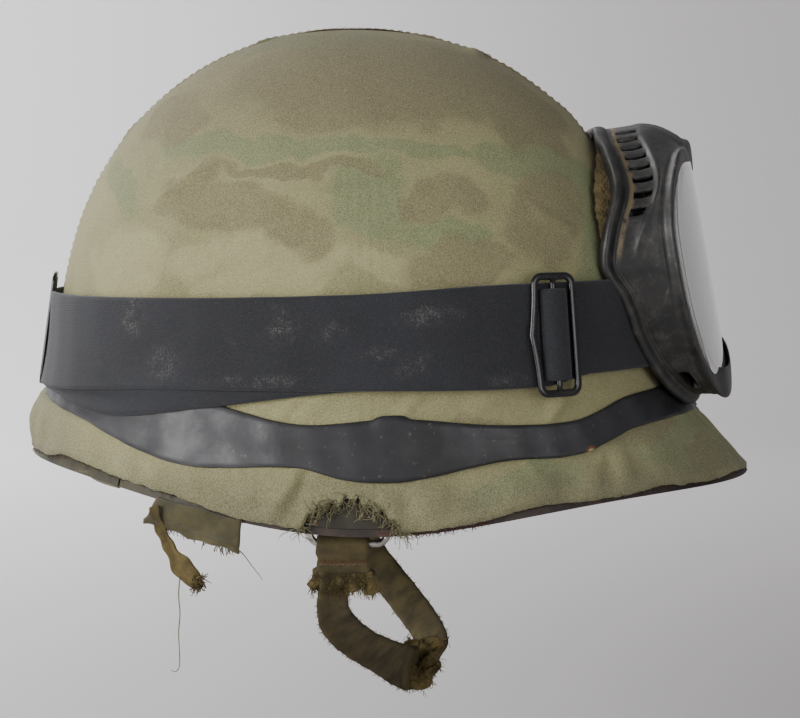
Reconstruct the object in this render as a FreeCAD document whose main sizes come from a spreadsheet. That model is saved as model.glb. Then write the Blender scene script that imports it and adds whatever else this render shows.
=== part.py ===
import FreeCAD, Part
import os
from math import atan2, cos, degrees, pi, radians, sin
from FreeCAD import Placement, Rotation, Vector

# Steel pot helmet with a cloth cover, a rubber band, dust goggles on a wide elastic strap and a
# webbing chinstrap. Millimetres. +X is the front, +Y the wearer's left, +Z up. The origin is the
# centre of the sweatband's lower edge, where the helmet meets the head. Angles go round +Z from +X,
# so the wearer's right ear is at -90 degrees. "Offset" is the distance outwards from the steel's
# outer surface.

doc = FreeCAD.newDocument("combat_helmet")

SIZES = {
    # steel shell: plan, height and rim
    "centre_x": -3.0,
    "front_reach": 120.5,
    "rear_reach": 117.5,
    "side_reach": 107.5,
    "plan_power": 2.12,
    "equator_z": 28.0,
    "crown_rise": 124.5,
    "dome_power": 2.1,
    "steel_thickness": 1.2,
    "rim_level": -21.8,
    "rim_front_back": -4.5,
    "rim_side_drop": 6.75,
    "rim_quarter_dip": -2.5,
    # outward flare towards the rim
    "flare_start_z": 38.0,
    "flare_power": 1.6,
    "flare_side": 11.0,
    "flare_brim": 27.0,
    "flare_nape": 1.0,
    # rim edging
    "edging_play": 0.15,
    "edging_wall": 0.7,
    "edging_gap_angle": -131.8,
    "edging_gap_width": 0.8,
    # cloth cover
    "cloth_thickness": 1.1,
    "cover_offset": 0.35,
    "hem_lift": 2.0,
    "hem_lift_nape": 5.0,
    "seam_y": -6.0,
    "seam_width": 6.0,
    "tuck_width_angle": 34.0,
    "tuck_height": 20.0,
    # rubber band, straps
    "band_offset": 1.7,
    "band_thickness": 1.4,
    "strap_thickness": 1.4,
    "inner_strap_offset": 3.35,
    "outer_strap_offset": 4.8,
    "slider_offset": 7.3,
    "slider_thickness": 1.5,
    "slider_width": 18.0,
    "slider_height": 44.0,
    "slider_border": 3.6,
    "slider_bar_width": 2.6,
    "slider_angle": -52.5,
    "slider_z": 37.5,
    "left_join_angle": 48.0,
    "rear_slider_angle": -172.0,
    "rear_slider_z": 35.0,
    "turn_width": 13.0,
    "turn_height": 33.0,
    # goggles, in a frame that leans back about the width axis
    "goggle_x": 118.0,
    "goggle_z": 62.5,
    "goggle_lean": 7.0,
    "lens_bend_radius": 103.0,
    "goggle_depth": 29.0,
    "rubber_wall": 4.0,
    "lens_frame_depth": 8.0,
    "lens_thickness": 1.2,
    "foam_thickness": 6.4,
    "foam_width": 11.0,
    "flange_thickness": 3.0,
    "goggle_clearance": 4.6,
    "vent_width": 4.5,
    "vent_length": 11.0,
    # bails
    "hinge_y": 109.5,
    "hinge_z": -22.0,
    "bail_width": 27.9,
    "bail_drop": 14.0,
    "bail_wire": 2.6,
    "bail_corner": 4.0,
    "lug_length": 12.0,
    "lug_reach": 4.8,
    "lug_sheet": 1.2,
    "lug_height": 11.0,
    "lug_bore": 3.0,
    "lug_knuckle": 5.2,
    "lug_tilt": 13.0,
    # chinstrap
    "webbing_width": 19.0,
    "webbing_thickness": 1.6,
    "wrap_play": 0.4,
    "wrap_length": 12.0,
    "wrap_tilt": 27.0,
    "wrap_shift": -2.0,
    "collar_width": 26.0,
    "collar_height": 9.5,
    "collar_depth": 5.0,
    # liner and its fittings
    "liner_offset": 6.0,
    "liner_thickness": 2.0,
    "liner_rise": 9.0,
    "liner_side_flare": 0.35,
    "liner_brim_flare": 0.6,
    "suspension_width": 25.0,
    "suspension_thickness": 1.0,
    "suspension_z": 22.0,
    "suspension_crown_z": 112.0,
    "suspension_step": 2.4,
    "suspension_gap": 1.5,
    "suspension_power": 2.3,
    "sweatband_half_length": 97.0,
    "sweatband_half_width": 78.0,
    "sweatband_thickness": 2.0,
    "sweatband_height": 30.0,
    "rivet_radius": 4.5,
    "washer_radius": 8.0,
    "disc_thickness": 0.9,
    "clip_width": 10.0,
    "clip_height": 9.0,
    "buckle_width": 24.0,
    "buckle_height": 20.0,
    "buckle_thickness": 1.6,
    "nape_strap_width": 18.0,
}

sheet = doc.addObject("Spreadsheet::Sheet", "Sizes")
for row, (alias, value) in enumerate(SIZES.items(), start=1):
    sheet.set(f"A{row}", alias.replace("_", " "))
    sheet.set(f"B{row}", str(value))
    sheet.setAlias(f"B{row}", alias)
doc.recompute()


def size(alias):
    return float(sheet.get(alias))


# ---------------------------------------------------------------- the dome that everything follows

CENTRE_X = size("centre_x")
EQUATOR_Z = size("equator_z")
CROWN_RISE = size("crown_rise")
DOME_POWER = size("dome_power")
PLAN_POWER = size("plan_power")
FLARE_START = size("flare_start_z")
FLARE_POWER = size("flare_power")
STEEL = size("steel_thickness")
RIM_TERMS = [size("rim_level"), size("rim_front_back"), size("rim_side_drop"), size("rim_quarter_dip")]


def plan_radius(theta):
    reach = size("front_reach") if cos(theta) > 0 else size("rear_reach")
    across = abs(sin(theta) / size("side_reach")) ** PLAN_POWER
    return (abs(cos(theta) / reach) ** PLAN_POWER + across) ** (-1 / PLAN_POWER)


def rim_height(theta):
    level, front_back, side_drop, quarter_dip = RIM_TERMS
    return level + front_back * cos(theta) + side_drop * cos(2 * theta) + quarter_dip * cos(4 * theta)


def rim_flare(theta, side_share, brim_share):
    forward = max(cos(theta), 0.0)
    rearward = max(-cos(theta), 0.0)
    brim = size("flare_brim") * forward**4 + size("flare_nape") * rearward**2
    return side_share * size("flare_side") + brim_share * brim


def dome_point(theta, z, offset, side_share=1.0, brim_share=1.0):
    height_share = (z - EQUATOR_Z) / (CROWN_RISE + offset)
    radius = plan_radius(theta) + offset
    if height_share > 0:
        radius *= (1 - min(height_share, 1.0) ** DOME_POWER) ** (1 / DOME_POWER)
    depth = max((FLARE_START - z) / (FLARE_START - rim_height(theta)), 0.0)
    radius += rim_flare(theta, side_share, brim_share) * depth**FLARE_POWER
    return Vector(CENTRE_X + radius * cos(theta), radius * sin(theta), z)


def interpolated_face(grid):
    patch = Part.BSplineSurface()
    patch.interpolate(grid)
    return patch.toShape()


def border_edges(face):
    edges = [edge for edge in face.Edges if not edge.Degenerated]
    closed = [edge for edge in edges if edge.isClosed()]
    return closed or edges


def thick_sheet(outer_grid, inner_grid):
    """Closed solid between two matching grids of points."""
    outer = interpolated_face(outer_grid)
    inner = interpolated_face(inner_grid)
    faces = [outer, inner]
    for outer_edge, inner_edge in zip(border_edges(outer), border_edges(inner)):
        faces += Part.makeRuledSurface(outer_edge, inner_edge).Faces
    shell = Part.makeShell(faces)
    shell.sewShape()
    solid = Part.makeSolid(shell)
    if solid.Volume < 0:
        solid.reverse()
    return solid


def largest_solid(shape):
    return max(shape.Solids, key=lambda solid: solid.Volume)


def dome_shell(inside, outside, low, side_share=1.0, brim_share=1.0, around=56, up=26):
    """The whole dome between two offsets, from height low(theta) up to the crown."""

    def grid(offset):
        crown = Vector(CENTRE_X, 0, EQUATOR_Z + CROWN_RISE + offset)
        columns = []
        for i in range(around):
            theta = -pi + 2 * pi * i / around
            foot = low(theta)
            column = []
            for j in range(up):
                z = foot + (crown.z - foot) * sin(pi / 2 * j / up)
                column.append(dome_point(theta, z, offset, side_share, brim_share))
            columns.append(column + [crown])
        return columns + [columns[0]]

    return thick_sheet(grid(outside), grid(inside))


def dome_ribbon(low, high, inside, outside, start, end, side_share=1.0, brim_share=1.0):
    """A band on the dome between two offsets and two heights, from angle start to angle end."""
    step = 6.0
    columns = max(4, round((end - start) / step))
    rows = 4

    def grid(offset):
        result = []
        for i in range(columns + 1):
            theta = radians(start + (end - start) * i / columns)
            foot, top = low(theta), high(theta)
            heights = [foot + (top - foot) * j / rows for j in range(rows + 1)]
            result.append([dome_point(theta, z, offset, side_share, brim_share) for z in heights])
        if end - start > 359.9:
            result[-1] = result[0]
        return result

    return thick_sheet(grid(outside), grid(inside))


def along_stations(stations):
    """Smooth height from (degrees away from the front, height) stations, alike on both sides."""

    def slope(index):
        low, high = max(index - 1, 0), min(index + 1, len(stations) - 1)
        return (stations[high][1] - stations[low][1]) / (stations[high][0] - stations[low][0])

    def height(theta):
        angle = abs(degrees(atan2(sin(theta), cos(theta))))
        for index, ((angle_0, z_0), (angle_1, z_1)) in enumerate(zip(stations, stations[1:])):
            if angle <= angle_1:
                span = angle_1 - angle_0
                share = max((angle - angle_0) / span, 0.0)
                rest = 1 - share
                ends = z_0 * (1 + 2 * share) * rest**2 + z_1 * (3 - 2 * share) * share**2
                bends = slope(index) * share * rest**2 - slope(index + 1) * rest * share**2
                return ends + bends * span
        return stations[-1][1]

    return height


BAND_TOP = along_stations(
    [(0, 15), (34, 13.2), (48, 6.2), (63, 5.9), (81, 8.9)]
    + [(99, 7), (116, 14), (135, 19), (150, 25), (180, 29)]
)
BAND_FOOT = along_stations(
    [(0, 3), (34, 2), (49, -6), (63, -7), (80, -13)]
    + [(90, -12.5), (99, -8.2), (120, -8.2), (146, 5), (180, 10)]
)
STRAP_TOP = along_stations([(0, 56.7), (60, 56), (90, 52.8), (150, 50), (180, 50)])
STRAP_FOOT = along_stations(
    [(0, 22), (44, 22.5), (54, 19), (90, 18.9), (125, 18), (155, 14), (180, 13)]
)
INNER_FOOT = along_stations(
    [(60, 19), (90, 18.5), (117, 11.8), (133, 7.4), (141, 7.6), (156, 12), (180, 12)]
)


def placement_on_dome(angle, z, offset, reach):
    """Local X runs round the dome, local Y up it and local Z straight out of it."""
    theta = radians(angle)
    step = radians(2.0)
    around = dome_point(theta + step, z, offset) - dome_point(theta - step, z, offset)
    upwards = dome_point(theta, z + reach, offset) - dome_point(theta, z - reach, offset)
    outwards = around.cross(upwards)
    return Placement(dome_point(theta, z, offset), Rotation(around, upwards, outwards, "ZXY"))


# ---------------------------------------------------------------- putting sub-parts in the document

nodes = []


def add_feature(label, shape):
    feature = doc.addObject("Part::Feature", label)
    feature.Shape = shape
    feature.Label = label
    feature.Placement = Placement()
    nodes.append(feature)
    return feature


def keep(obj, label, placement):
    obj.Label = label
    obj.Placement = placement
    nodes.append(obj)
    return obj


def new_body(label):
    return doc.addObject("PartDesign::Body", label + "_body")


def plane_of(body, role):
    return next(item for item in body.Origin.OriginFeatures if item.Role == role)


def new_sketch(body, name, role):
    sketch = body.newObject("Sketcher::SketchObject", name)
    sketch.AttachmentSupport = [(plane_of(body, role), "")]
    sketch.MapMode = "FlatFace"
    return sketch


def add_rectangle(sketch, left, low, right, high):
    corners = [Vector(left, low, 0), Vector(right, low, 0), Vector(right, high, 0), Vector(left, high, 0)]
    add_polygon(sketch, corners)


def add_polygon(sketch, corners):
    for start, end in zip(corners, corners[1:] + corners[:1]):
        sketch.addGeometry(Part.LineSegment(start, end), False)


def add_circle(sketch, radius):
    sketch.addGeometry(Part.Circle(Vector(), Vector(0, 0, 1), radius), False)


def pad(body, name, sketch, length):
    feature = body.newObject("PartDesign::Pad", name)
    feature.Profile = sketch
    feature.setExpression("Length", f"Sizes.{length}")
    return feature


def pocket_through(body, name, sketch):
    feature = body.newObject("PartDesign::Pocket", name)
    feature.Profile = sketch
    feature.Type = "ThroughAll"
    feature.Midplane = True
    return feature


# ---------------------------------------------------------------- steel shell, edging, bails and lugs


def hem_height(theta):
    """Lower edge of the cloth cover: close to the rim at the sides, higher at the nape."""
    rearward = max(-cos(theta), 0.0)
    return rim_height(theta) + size("hem_lift") + size("hem_lift_nape") * rearward**6


def make_steel_shell():
    add_feature("steel_shell", dome_shell(-STEEL, 0.0, rim_height))


def make_rim_edging():
    """Channel crimped over the rim, with a butt gap at the right rear."""
    wall, play = size("edging_wall"), size("edging_play")
    gap_angle = size("edging_gap_angle")
    half_gap = degrees(size("edging_gap_width") / 2 / plan_radius(radians(gap_angle)))
    start, end = radians(gap_angle + half_gap), radians(gap_angle + 360 - half_gap)
    columns = 72

    def section(theta):
        rim, top = rim_height(theta), hem_height(theta) - 2 * play
        outer, inner = play, -STEEL - play
        low = rim - play - wall
        corners = [(outer, top), (outer + wall, top), (outer + wall, low), (inner - wall, low)]
        corners += [(inner - wall, top), (inner, top), (inner, rim - play), (outer, rim - play)]
        return [dome_point(theta, z, offset) for offset, z in corners]

    sections = [section(start + (end - start) * i / columns) for i in range(columns + 1)]
    edges = []
    for line in zip(*sections):
        curve = Part.BSplineCurve()
        curve.interpolate(list(line))
        edges.append(curve.toShape())
    faces = [Part.makeRuledSurface(edge, following) for edge, following in zip(edges, edges[1:] + edges[:1])]
    faces += [Part.Face(Part.makePolygon(cap + cap[:1])) for cap in (sections[0], sections[-1])]
    shell = Part.makeShell(faces)
    shell.sewShape()
    add_feature("rim_edging", Part.makeSolid(shell))


def make_bail(side):
    """Wire loop: a rounded rectangle whose top bar is the hinge axis, along the body's X axis."""
    label = f"bail_{side}"
    body = new_body(label)
    half, drop, corner = size("bail_width") / 2, size("bail_drop"), size("bail_corner")
    path = new_sketch(body, f"{label}_path", "XZ_Plane")
    straight = half - corner
    path.addGeometry(Part.LineSegment(Vector(-straight, 0, 0), Vector(straight, 0, 0)), False)
    path.addGeometry(corner_arc(straight, -corner, corner, 0, 90), False)
    path.addGeometry(Part.LineSegment(Vector(half, -corner, 0), Vector(half, corner - drop, 0)), False)
    path.addGeometry(corner_arc(straight, corner - drop, corner, -90, 0), False)
    path.addGeometry(Part.LineSegment(Vector(straight, -drop, 0), Vector(-straight, -drop, 0)), False)
    path.addGeometry(corner_arc(-straight, corner - drop, corner, 180, 270), False)
    path.addGeometry(Part.LineSegment(Vector(-half, corner - drop, 0), Vector(-half, -corner, 0)), False)
    path.addGeometry(corner_arc(-straight, -corner, corner, 90, 180), False)
    profile = new_sketch(body, f"{label}_profile", "YZ_Plane")
    add_circle(profile, size("bail_wire") / 2)
    pipe = body.newObject("PartDesign::AdditivePipe", f"{label}_pipe")
    pipe.Profile = profile
    pipe.Spine = (path, [f"Edge{i + 1}" for i in range(8)])
    sign = -1 if side == "right" else 1
    hinge = Vector(CENTRE_X, sign * size("hinge_y"), size("hinge_z"))
    keep(body, label, Placement(hinge, Rotation()))


def corner_arc(x, y, radius, start, end):
    circle = Part.Circle(Vector(x, y, 0), Vector(0, 0, 1), radius)
    return Part.ArcOfCircle(circle, radians(start), radians(end))


def make_bail_lug(side):
    """Sheet lug welded inside the shell: a plate and a knuckle with a bore for the bail's top bar."""
    label = f"bail_lug_{side}"
    body = new_body(label)
    reach, sheet_metal = size("lug_reach"), size("lug_sheet")
    knuckle, height = size("lug_knuckle") / 2, size("lug_height")
    plate = new_sketch(body, f"{label}_section", "YZ_Plane")
    step = knuckle - sheet_metal
    corners = [
        Vector(-reach, -knuckle, 0),
        Vector(knuckle - step / 2, -knuckle, 0),
        Vector(knuckle, -knuckle + step / 2, 0),
        Vector(knuckle, knuckle - step / 2, 0),
        Vector(knuckle - step / 2, knuckle, 0),
        Vector(-reach + sheet_metal, knuckle, 0),
        Vector(-reach + sheet_metal, height - knuckle, 0),
        Vector(-reach, height - knuckle, 0),
    ]
    add_polygon(plate, corners)
    block = pad(body, f"{label}_block", plate, "lug_length")
    block.Midplane = True
    bore = new_sketch(body, f"{label}_bore", "YZ_Plane")
    add_circle(bore, size("lug_bore") / 2)
    pocket_through(body, f"{label}_hole", bore)
    turn = Rotation(Vector(1, 0, 0), -size("lug_tilt"))
    hinge_y = -size("hinge_y")
    if side == "left":
        turn = Rotation(Vector(0, 0, 1), 180).multiply(turn)
        hinge_y = -hinge_y
    keep(body, label, Placement(Vector(CENTRE_X, hinge_y, size("hinge_z")), turn))


# ---------------------------------------------------------------- cloth cover


def make_cover():
    """Two sewn panels that meet a little to the right of the middle, with a tear at the right hem."""
    inside = size("cover_offset")
    outside = inside + size("cloth_thickness")
    cloth = dome_shell(inside, outside, hem_height)
    far = 200.0
    stitch_gap = 0.1
    seam_y = size("seam_y")
    right_half = Part.makeBox(2 * far, far, 2 * far, Vector(-far, seam_y - stitch_gap - far, -far))
    left_half = Part.makeBox(2 * far, far, 2 * far, Vector(-far, seam_y + stitch_gap, -far))
    tear_outline = [(-20, -36), (-19, -27), (-12, -23), (-3, -19), (8, -21), (13, -27), (15, -36)]
    corners = [Vector(x, -far, z) for x, z in tear_outline]
    tear = Part.Face(Part.makePolygon(corners + corners[:1])).extrude(Vector(0, far, 0))
    add_feature("cover_right_panel", cloth.common(right_half).cut(tear))
    add_feature("cover_left_panel", cloth.common(left_half))
    seam_layer = dome_shell(outside + stitch_gap, outside + size("cloth_thickness"), hem_height)
    under_band = dome_ribbon(
        lambda theta: BAND_FOOT(theta) - 1, lambda theta: BAND_TOP(theta) + 1, inside, outside + 4, -180, 180
    )
    width = size("seam_width")
    slice_box = Part.makeBox(2 * far, width, 2 * far, Vector(-far, seam_y - width / 2, -far))
    add_feature("cover_crown_seam", seam_layer.common(slice_box).cut(under_band))


def make_tucked_flaps():
    """Flaps of the cover folded up between the steel shell and the liner, clear of the bail lugs."""
    half = size("tuck_width_angle") / 2
    names = ("front", "front_left", "rear_left", "nape", "rear_right", "front_right")
    for name, angle in zip(names, (0, 52, 128, 180, 232, 308)):
        flap = dome_ribbon(
            lambda theta: rim_height(theta) + 8,
            lambda theta: rim_height(theta) + 8 + size("tuck_height"),
            -STEEL - 1.3,
            -STEEL - 0.3,
            angle - half,
            angle + half,
        )
        add_feature(f"cover_tuck_{name}", flap)


def make_torn_cloth():
    """A torn flap and a narrow torn strip of the cover that hang outside the rim at the right rear."""
    flap = dome_ribbon(
        along_stations([(108, -37), (112, -36), (121, -31), (123, -29)]),
        along_stations([(108, -26.5), (123, -22.5)]),
        2.0,
        3.2,
        -123,
        -108.3,
    )
    add_feature("cover_torn_flap", flap)
    strip_top = along_stations([(112, -46), (124.5, -25)])
    strip = dome_ribbon(lambda theta: strip_top(theta) - 7, strip_top, 4.0, 5.0, -124.5, -112.5)
    add_feature("cover_torn_strip", strip)


# ---------------------------------------------------------------- rubber band, goggle strap, sliders

def make_rubber_band():
    inside = size("band_offset")
    band = dome_ribbon(BAND_FOOT, BAND_TOP, inside, inside + size("band_thickness"), -180, 180)
    add_feature("rubber_band", band)


def make_goggle_strap():
    thick = size("strap_thickness")
    inner, outer = size("inner_strap_offset"), size("outer_strap_offset")
    join = size("slider_angle")
    main = dome_ribbon(STRAP_FOOT, STRAP_TOP, outer, outer + thick, size("left_join_angle"), 360 + join)
    add_feature("goggle_strap_outer", main)
    doubled = dome_ribbon(
        INNER_FOOT,
        lambda theta: STRAP_TOP(theta) - 1.5,
        inner,
        inner + thick,
        size("rear_slider_angle") + 4,
        join - 4,
    )
    add_feature("goggle_strap_doubled", doubled)


def make_strap_ends():
    """Single layers between the strap proper and the goggles, which stretch as the goggles are pulled."""
    thick = size("strap_thickness")
    outer = size("outer_strap_offset")
    gap = 0.3
    frame_room = goggle_block(-2 * gap)
    ends = {
        "right": (size("slider_angle") + gap, -31.0),
        "left": (31.0, size("left_join_angle") - gap),
    }
    for side, (start, end) in ends.items():
        strap = dome_ribbon(STRAP_FOOT, STRAP_TOP, outer, outer + thick, start, end).cut(frame_room)
        add_feature(f"goggle_strap_end_{side}", largest_solid(strap))


def make_slider(label, angle, z):
    """Flat ladder slider: a plate with a shallow point on one long side, two slots and a centre bar."""
    body = new_body(label)
    half_width, half_height = size("slider_width") / 2, size("slider_height") / 2
    border, half_bar = size("slider_border"), size("slider_bar_width") / 2
    outline = new_sketch(body, f"{label}_outline", "XY_Plane")
    chamfer = border / 2
    point = 3.0
    corners = [
        Vector(-half_width + point, -half_height, 0),
        Vector(half_width - chamfer, -half_height, 0),
        Vector(half_width, -half_height + chamfer, 0),
        Vector(half_width, half_height - chamfer, 0),
        Vector(half_width - chamfer, half_height, 0),
        Vector(-half_width + point, half_height, 0),
        Vector(-half_width, 0, 0),
    ]
    add_polygon(outline, corners)
    pad(body, f"{label}_plate", outline, "slider_thickness")
    slots = new_sketch(body, f"{label}_slots", "XY_Plane")
    slot_top = half_height - border
    add_rectangle(slots, -half_width + border + 1.5, -slot_top, -half_bar, slot_top)
    add_rectangle(slots, half_bar, -slot_top, half_width - border, slot_top)
    pocket_through(body, f"{label}_cut", slots)
    keep(body, label, placement_on_dome(angle, z, size("slider_offset"), half_height))


def make_sliders():
    make_slider("slider_right", size("slider_angle"), size("slider_z"))
    make_slider("slider_rear", size("rear_slider_angle"), size("rear_slider_z"))


def make_strap_turn():
    """The end of the strap folded over the right slider's centre bar."""
    turn = doc.addObject("Part::Box", "strap_turn")
    turn.setExpression("Length", "Sizes.turn_width")
    turn.setExpression("Width", "Sizes.turn_height")
    turn.setExpression("Height", "Sizes.strap_thickness")
    spot = placement_on_dome(
        size("slider_angle"),
        size("slider_z"),
        size("slider_offset") + size("slider_thickness") + 0.2,
        size("slider_height") / 2,
    )
    centred = Placement(Vector(-size("turn_width") / 2, -size("turn_height") / 2, 0), Rotation())
    keep(turn, "goggle_strap_turn", spot.multiply(centred))


# ---------------------------------------------------------------- goggles

# Half outline of the frame, seen from the front: (distance from the middle, height above the centre),
# from the middle of the top round to the middle of the nose arch.
GOGGLE_HALF_OUTLINE = [
    (0, 54.5), (22, 53), (42, 45.5), (59, 34), (68.5, 19), (71, 1),
    (69, -22), (62, -42), (50, -52.5), (34, -54.5), (18, -51), (0, -46),
]
LEAN = Placement(
    Vector(size("goggle_x"), 0, size("goggle_z")), Rotation(Vector(0, 1, 0), -size("goggle_lean"))
)


def goggle_section(forward, inset, top_drop, foot_pinch):
    """Closed outline of the goggles in the plane at local x = forward."""
    half = GOGGLE_HALF_OUTLINE
    loop = half + [(-across, up) for across, up in half[-2:0:-1]]
    points = []
    for index, (across, up) in enumerate(loop):
        before, after = loop[index - 1], loop[(index + 1) % len(loop)]
        run = Vector(after[0] - before[0], after[1] - before[1], 0)
        run.normalize()
        # the loop runs clockwise seen from the front, so its inside lies to the right of the run
        across_in = across + inset * run.y
        up_in = up - inset * run.x
        drop = top_drop if up_in > 0 else 0.0
        pinch = foot_pinch * min(max(-up_in, 0.0) / 40, 1.0)
        points.append(Vector(forward, across_in * (1 - pinch), up_in * (1 - drop)))
    curve = Part.BSplineCurve()
    curve.interpolate(Points=points, PeriodicFlag=True)
    return Part.Wire(curve.toShape())


def goggle_block(inset):
    """Solid core of the goggles' outline, lofted from the dome to beyond the lens."""
    rear = goggle_section(-55, inset, 0.07, 0.22)
    middle = goggle_section(0, inset, 0.0, 0.06)
    front = goggle_section(45, inset, 0.19, 0.0)
    block = Part.makeLoft([rear, middle, front], True, False)
    block.Placement = LEAN
    return block


def bend_cylinder(radius):
    """Everything behind the lens' bent surface, or behind a surface parallel to it."""
    length = 300.0
    axis_x = size("goggle_depth") - size("lens_bend_radius")
    cylinder = Part.makeCylinder(radius, length, Vector(axis_x, 0, -length / 2), Vector(0, 0, 1))
    cylinder.Placement = LEAN.multiply(cylinder.Placement)
    return cylinder


def dome_core(offset):
    """The dome filled inwards from an offset, deep enough to cut the goggles to its shape."""
    return dome_shell(offset - 60, offset, lambda theta: rim_height(theta) + 4, around=36, up=18)


def make_goggles():
    wall = size("rubber_wall")
    bend = size("lens_bend_radius")
    behind_lens = bend - size("lens_frame_depth")
    clearance = size("goggle_clearance")
    foam = size("foam_thickness")
    foam_seat = clearance - 1.0 + foam + 0.3
    flange_top = foam_seat + size("flange_thickness")
    eye_inset = wall + size("foam_width")
    gap = 0.3

    walls = goggle_block(wall)
    eye_opening = goggle_block(eye_inset)
    lens_opening = goggle_block(wall + 6.5)
    frame = goggle_block(0).common(bend_cylinder(bend)).cut(dome_core(clearance))
    hollow = walls.common(bend_cylinder(behind_lens)).cut(dome_core(flange_top))
    foam_room = walls.common(dome_core(foam_seat))
    groove_solid = goggle_block(wall).common(bend_cylinder(bend - 3.0)).cut(bend_cylinder(bend - 4.8))
    frame = frame.cut(hollow)
    frame = frame.cut(foam_room)
    frame = frame.cut(eye_opening.common(bend_cylinder(behind_lens)))
    frame = frame.cut(lens_opening)
    frame = frame.cut(groove_solid)
    for slot in vent_slots():
        frame = frame.cut(slot)
    add_feature("goggle_frame", largest_solid(frame))

    lens = goggle_block(wall + gap).common(bend_cylinder(bend - 3.3))
    lens = lens.cut(bend_cylinder(bend - 3.3 - size("lens_thickness")))
    add_feature("goggle_lens", lens)

    padding = goggle_block(wall + gap).cut(eye_opening)
    padding = padding.common(dome_core(foam_seat - gap)).cut(dome_core(clearance - 1.0))
    add_feature("goggle_face_foam", padding)

    vent_foam = goggle_block(wall + gap).cut(goggle_block(wall + 3.3))
    reach = Part.makeBox(18, 120, 40, Vector(-6, -60, 22))
    reach.Placement = LEAN
    vent_foam = vent_foam.common(reach).cut(dome_core(flange_top + gap))
    add_feature("goggle_vent_foam", vent_foam.common(bend_cylinder(behind_lens - gap)))


def vent_slots():
    """Row of slots through the rubber wall at each upper corner, and one at each lower corner."""
    slots = []
    places = [(30, 50.5, -20), (39, 46.5, -30), (47.5, 41.5, -35), (55, 36.5, -38), (58, -47, 219)]
    for across, up, slope in places:
        for side in (-1, 1):
            slot = Part.makeBox(
                size("vent_length"), size("vent_width"), 20, Vector(-2, -size("vent_width") / 2, -8)
            )
            turn = Placement(Vector(0, side * across, up), Rotation(Vector(1, 0, 0), side * slope))
            slot.Placement = LEAN.multiply(turn).multiply(slot.Placement)
            slots.append(slot)
    return slots


# ---------------------------------------------------------------- chinstrap


def make_strap_wrap(side):
    """Webbing folded round the bail's lower bar, its two layers side by side below the bar."""
    label = f"chinstrap_wrap_{side}"
    sign = -1 if side == "right" else 1
    half_wire = size("bail_wire") / 2
    play, thick = size("wrap_play"), size("webbing_thickness")
    width = size("webbing_width")
    bend = doc.addObject("Part::Cylinder", f"{label}_bend")
    bend.Radius = half_wire + play + thick
    bend.setExpression("Height", "Sizes.webbing_width")
    bend.Placement = Placement(Vector(-width / 2, 0, 0), Rotation(Vector(0, 1, 0), 90))
    legs = doc.addObject("Part::Box", f"{label}_legs")
    legs.setExpression("Length", "Sizes.webbing_width")
    legs.Width = 2 * thick
    legs.setExpression("Height", "Sizes.wrap_length")
    legs.Placement = Placement(Vector(-width / 2, -thick, -size("wrap_length")), Rotation())
    outer = doc.addObject("Part::Fuse", f"{label}_outer")
    outer.Base = bend
    outer.Tool = legs
    hole = doc.addObject("Part::Cylinder", f"{label}_hole")
    hole.Radius = half_wire + play
    hole.Height = width + 2
    hole.Placement = Placement(Vector(-width / 2 - 1, 0, 0), Rotation(Vector(0, 1, 0), 90))
    wrap = doc.addObject("Part::Cut", f"{label}_cut")
    wrap.Base = outer
    wrap.Tool = hole
    keep(wrap, label, wrap_placement(sign))


def wrap_placement(sign):
    """Origin at the bail's lower bar; local -Z runs down the webbing, which leans inwards."""
    bar_z = size("hinge_z") - size("bail_drop")
    bar = Vector(CENTRE_X + size("wrap_shift"), sign * size("hinge_y"), bar_z)
    return Placement(bar, Rotation(Vector(1, 0, 0), -sign * size("wrap_tilt")))


def make_strap_collar(side):
    """The gathered, frayed end of the webbing below each wrap."""
    label = f"chinstrap_collar_{side}"
    sign = -1 if side == "right" else 1
    collar = doc.addObject("Part::Box", f"{label}_box")
    collar.setExpression("Length", "Sizes.collar_width")
    collar.setExpression("Width", "Sizes.collar_depth")
    collar.setExpression("Height", "Sizes.collar_height")
    low = -size("wrap_length") - size("collar_height") - 0.2
    corner = Vector(-size("collar_width") / 2, -size("collar_depth") / 2, low)
    keep(collar, label, wrap_placement(sign).multiply(Placement(corner, Rotation())))


def webbing(stations):
    """Flat webbing through (centre, width direction, width, thickness) stations."""
    grids = ([], [])
    for index, (centre, across, width, thick) in enumerate(stations):
        before = stations[max(index - 1, 0)][0]
        after = stations[min(index + 1, len(stations) - 1)][0]
        run = Vector(*after) - Vector(*before)
        run.normalize()
        span = Vector(*across)
        span = span - run * span.dot(run)
        span.normalize()
        face = run.cross(span)
        for grid, lift in zip(grids, (0.5, -0.5)):
            middle = Vector(*centre) + face * (lift * thick)
            grid.append([middle + span * (width * share) for share in (-0.5, -0.17, 0.17, 0.5)])
    return thick_sheet(*grids)


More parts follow.
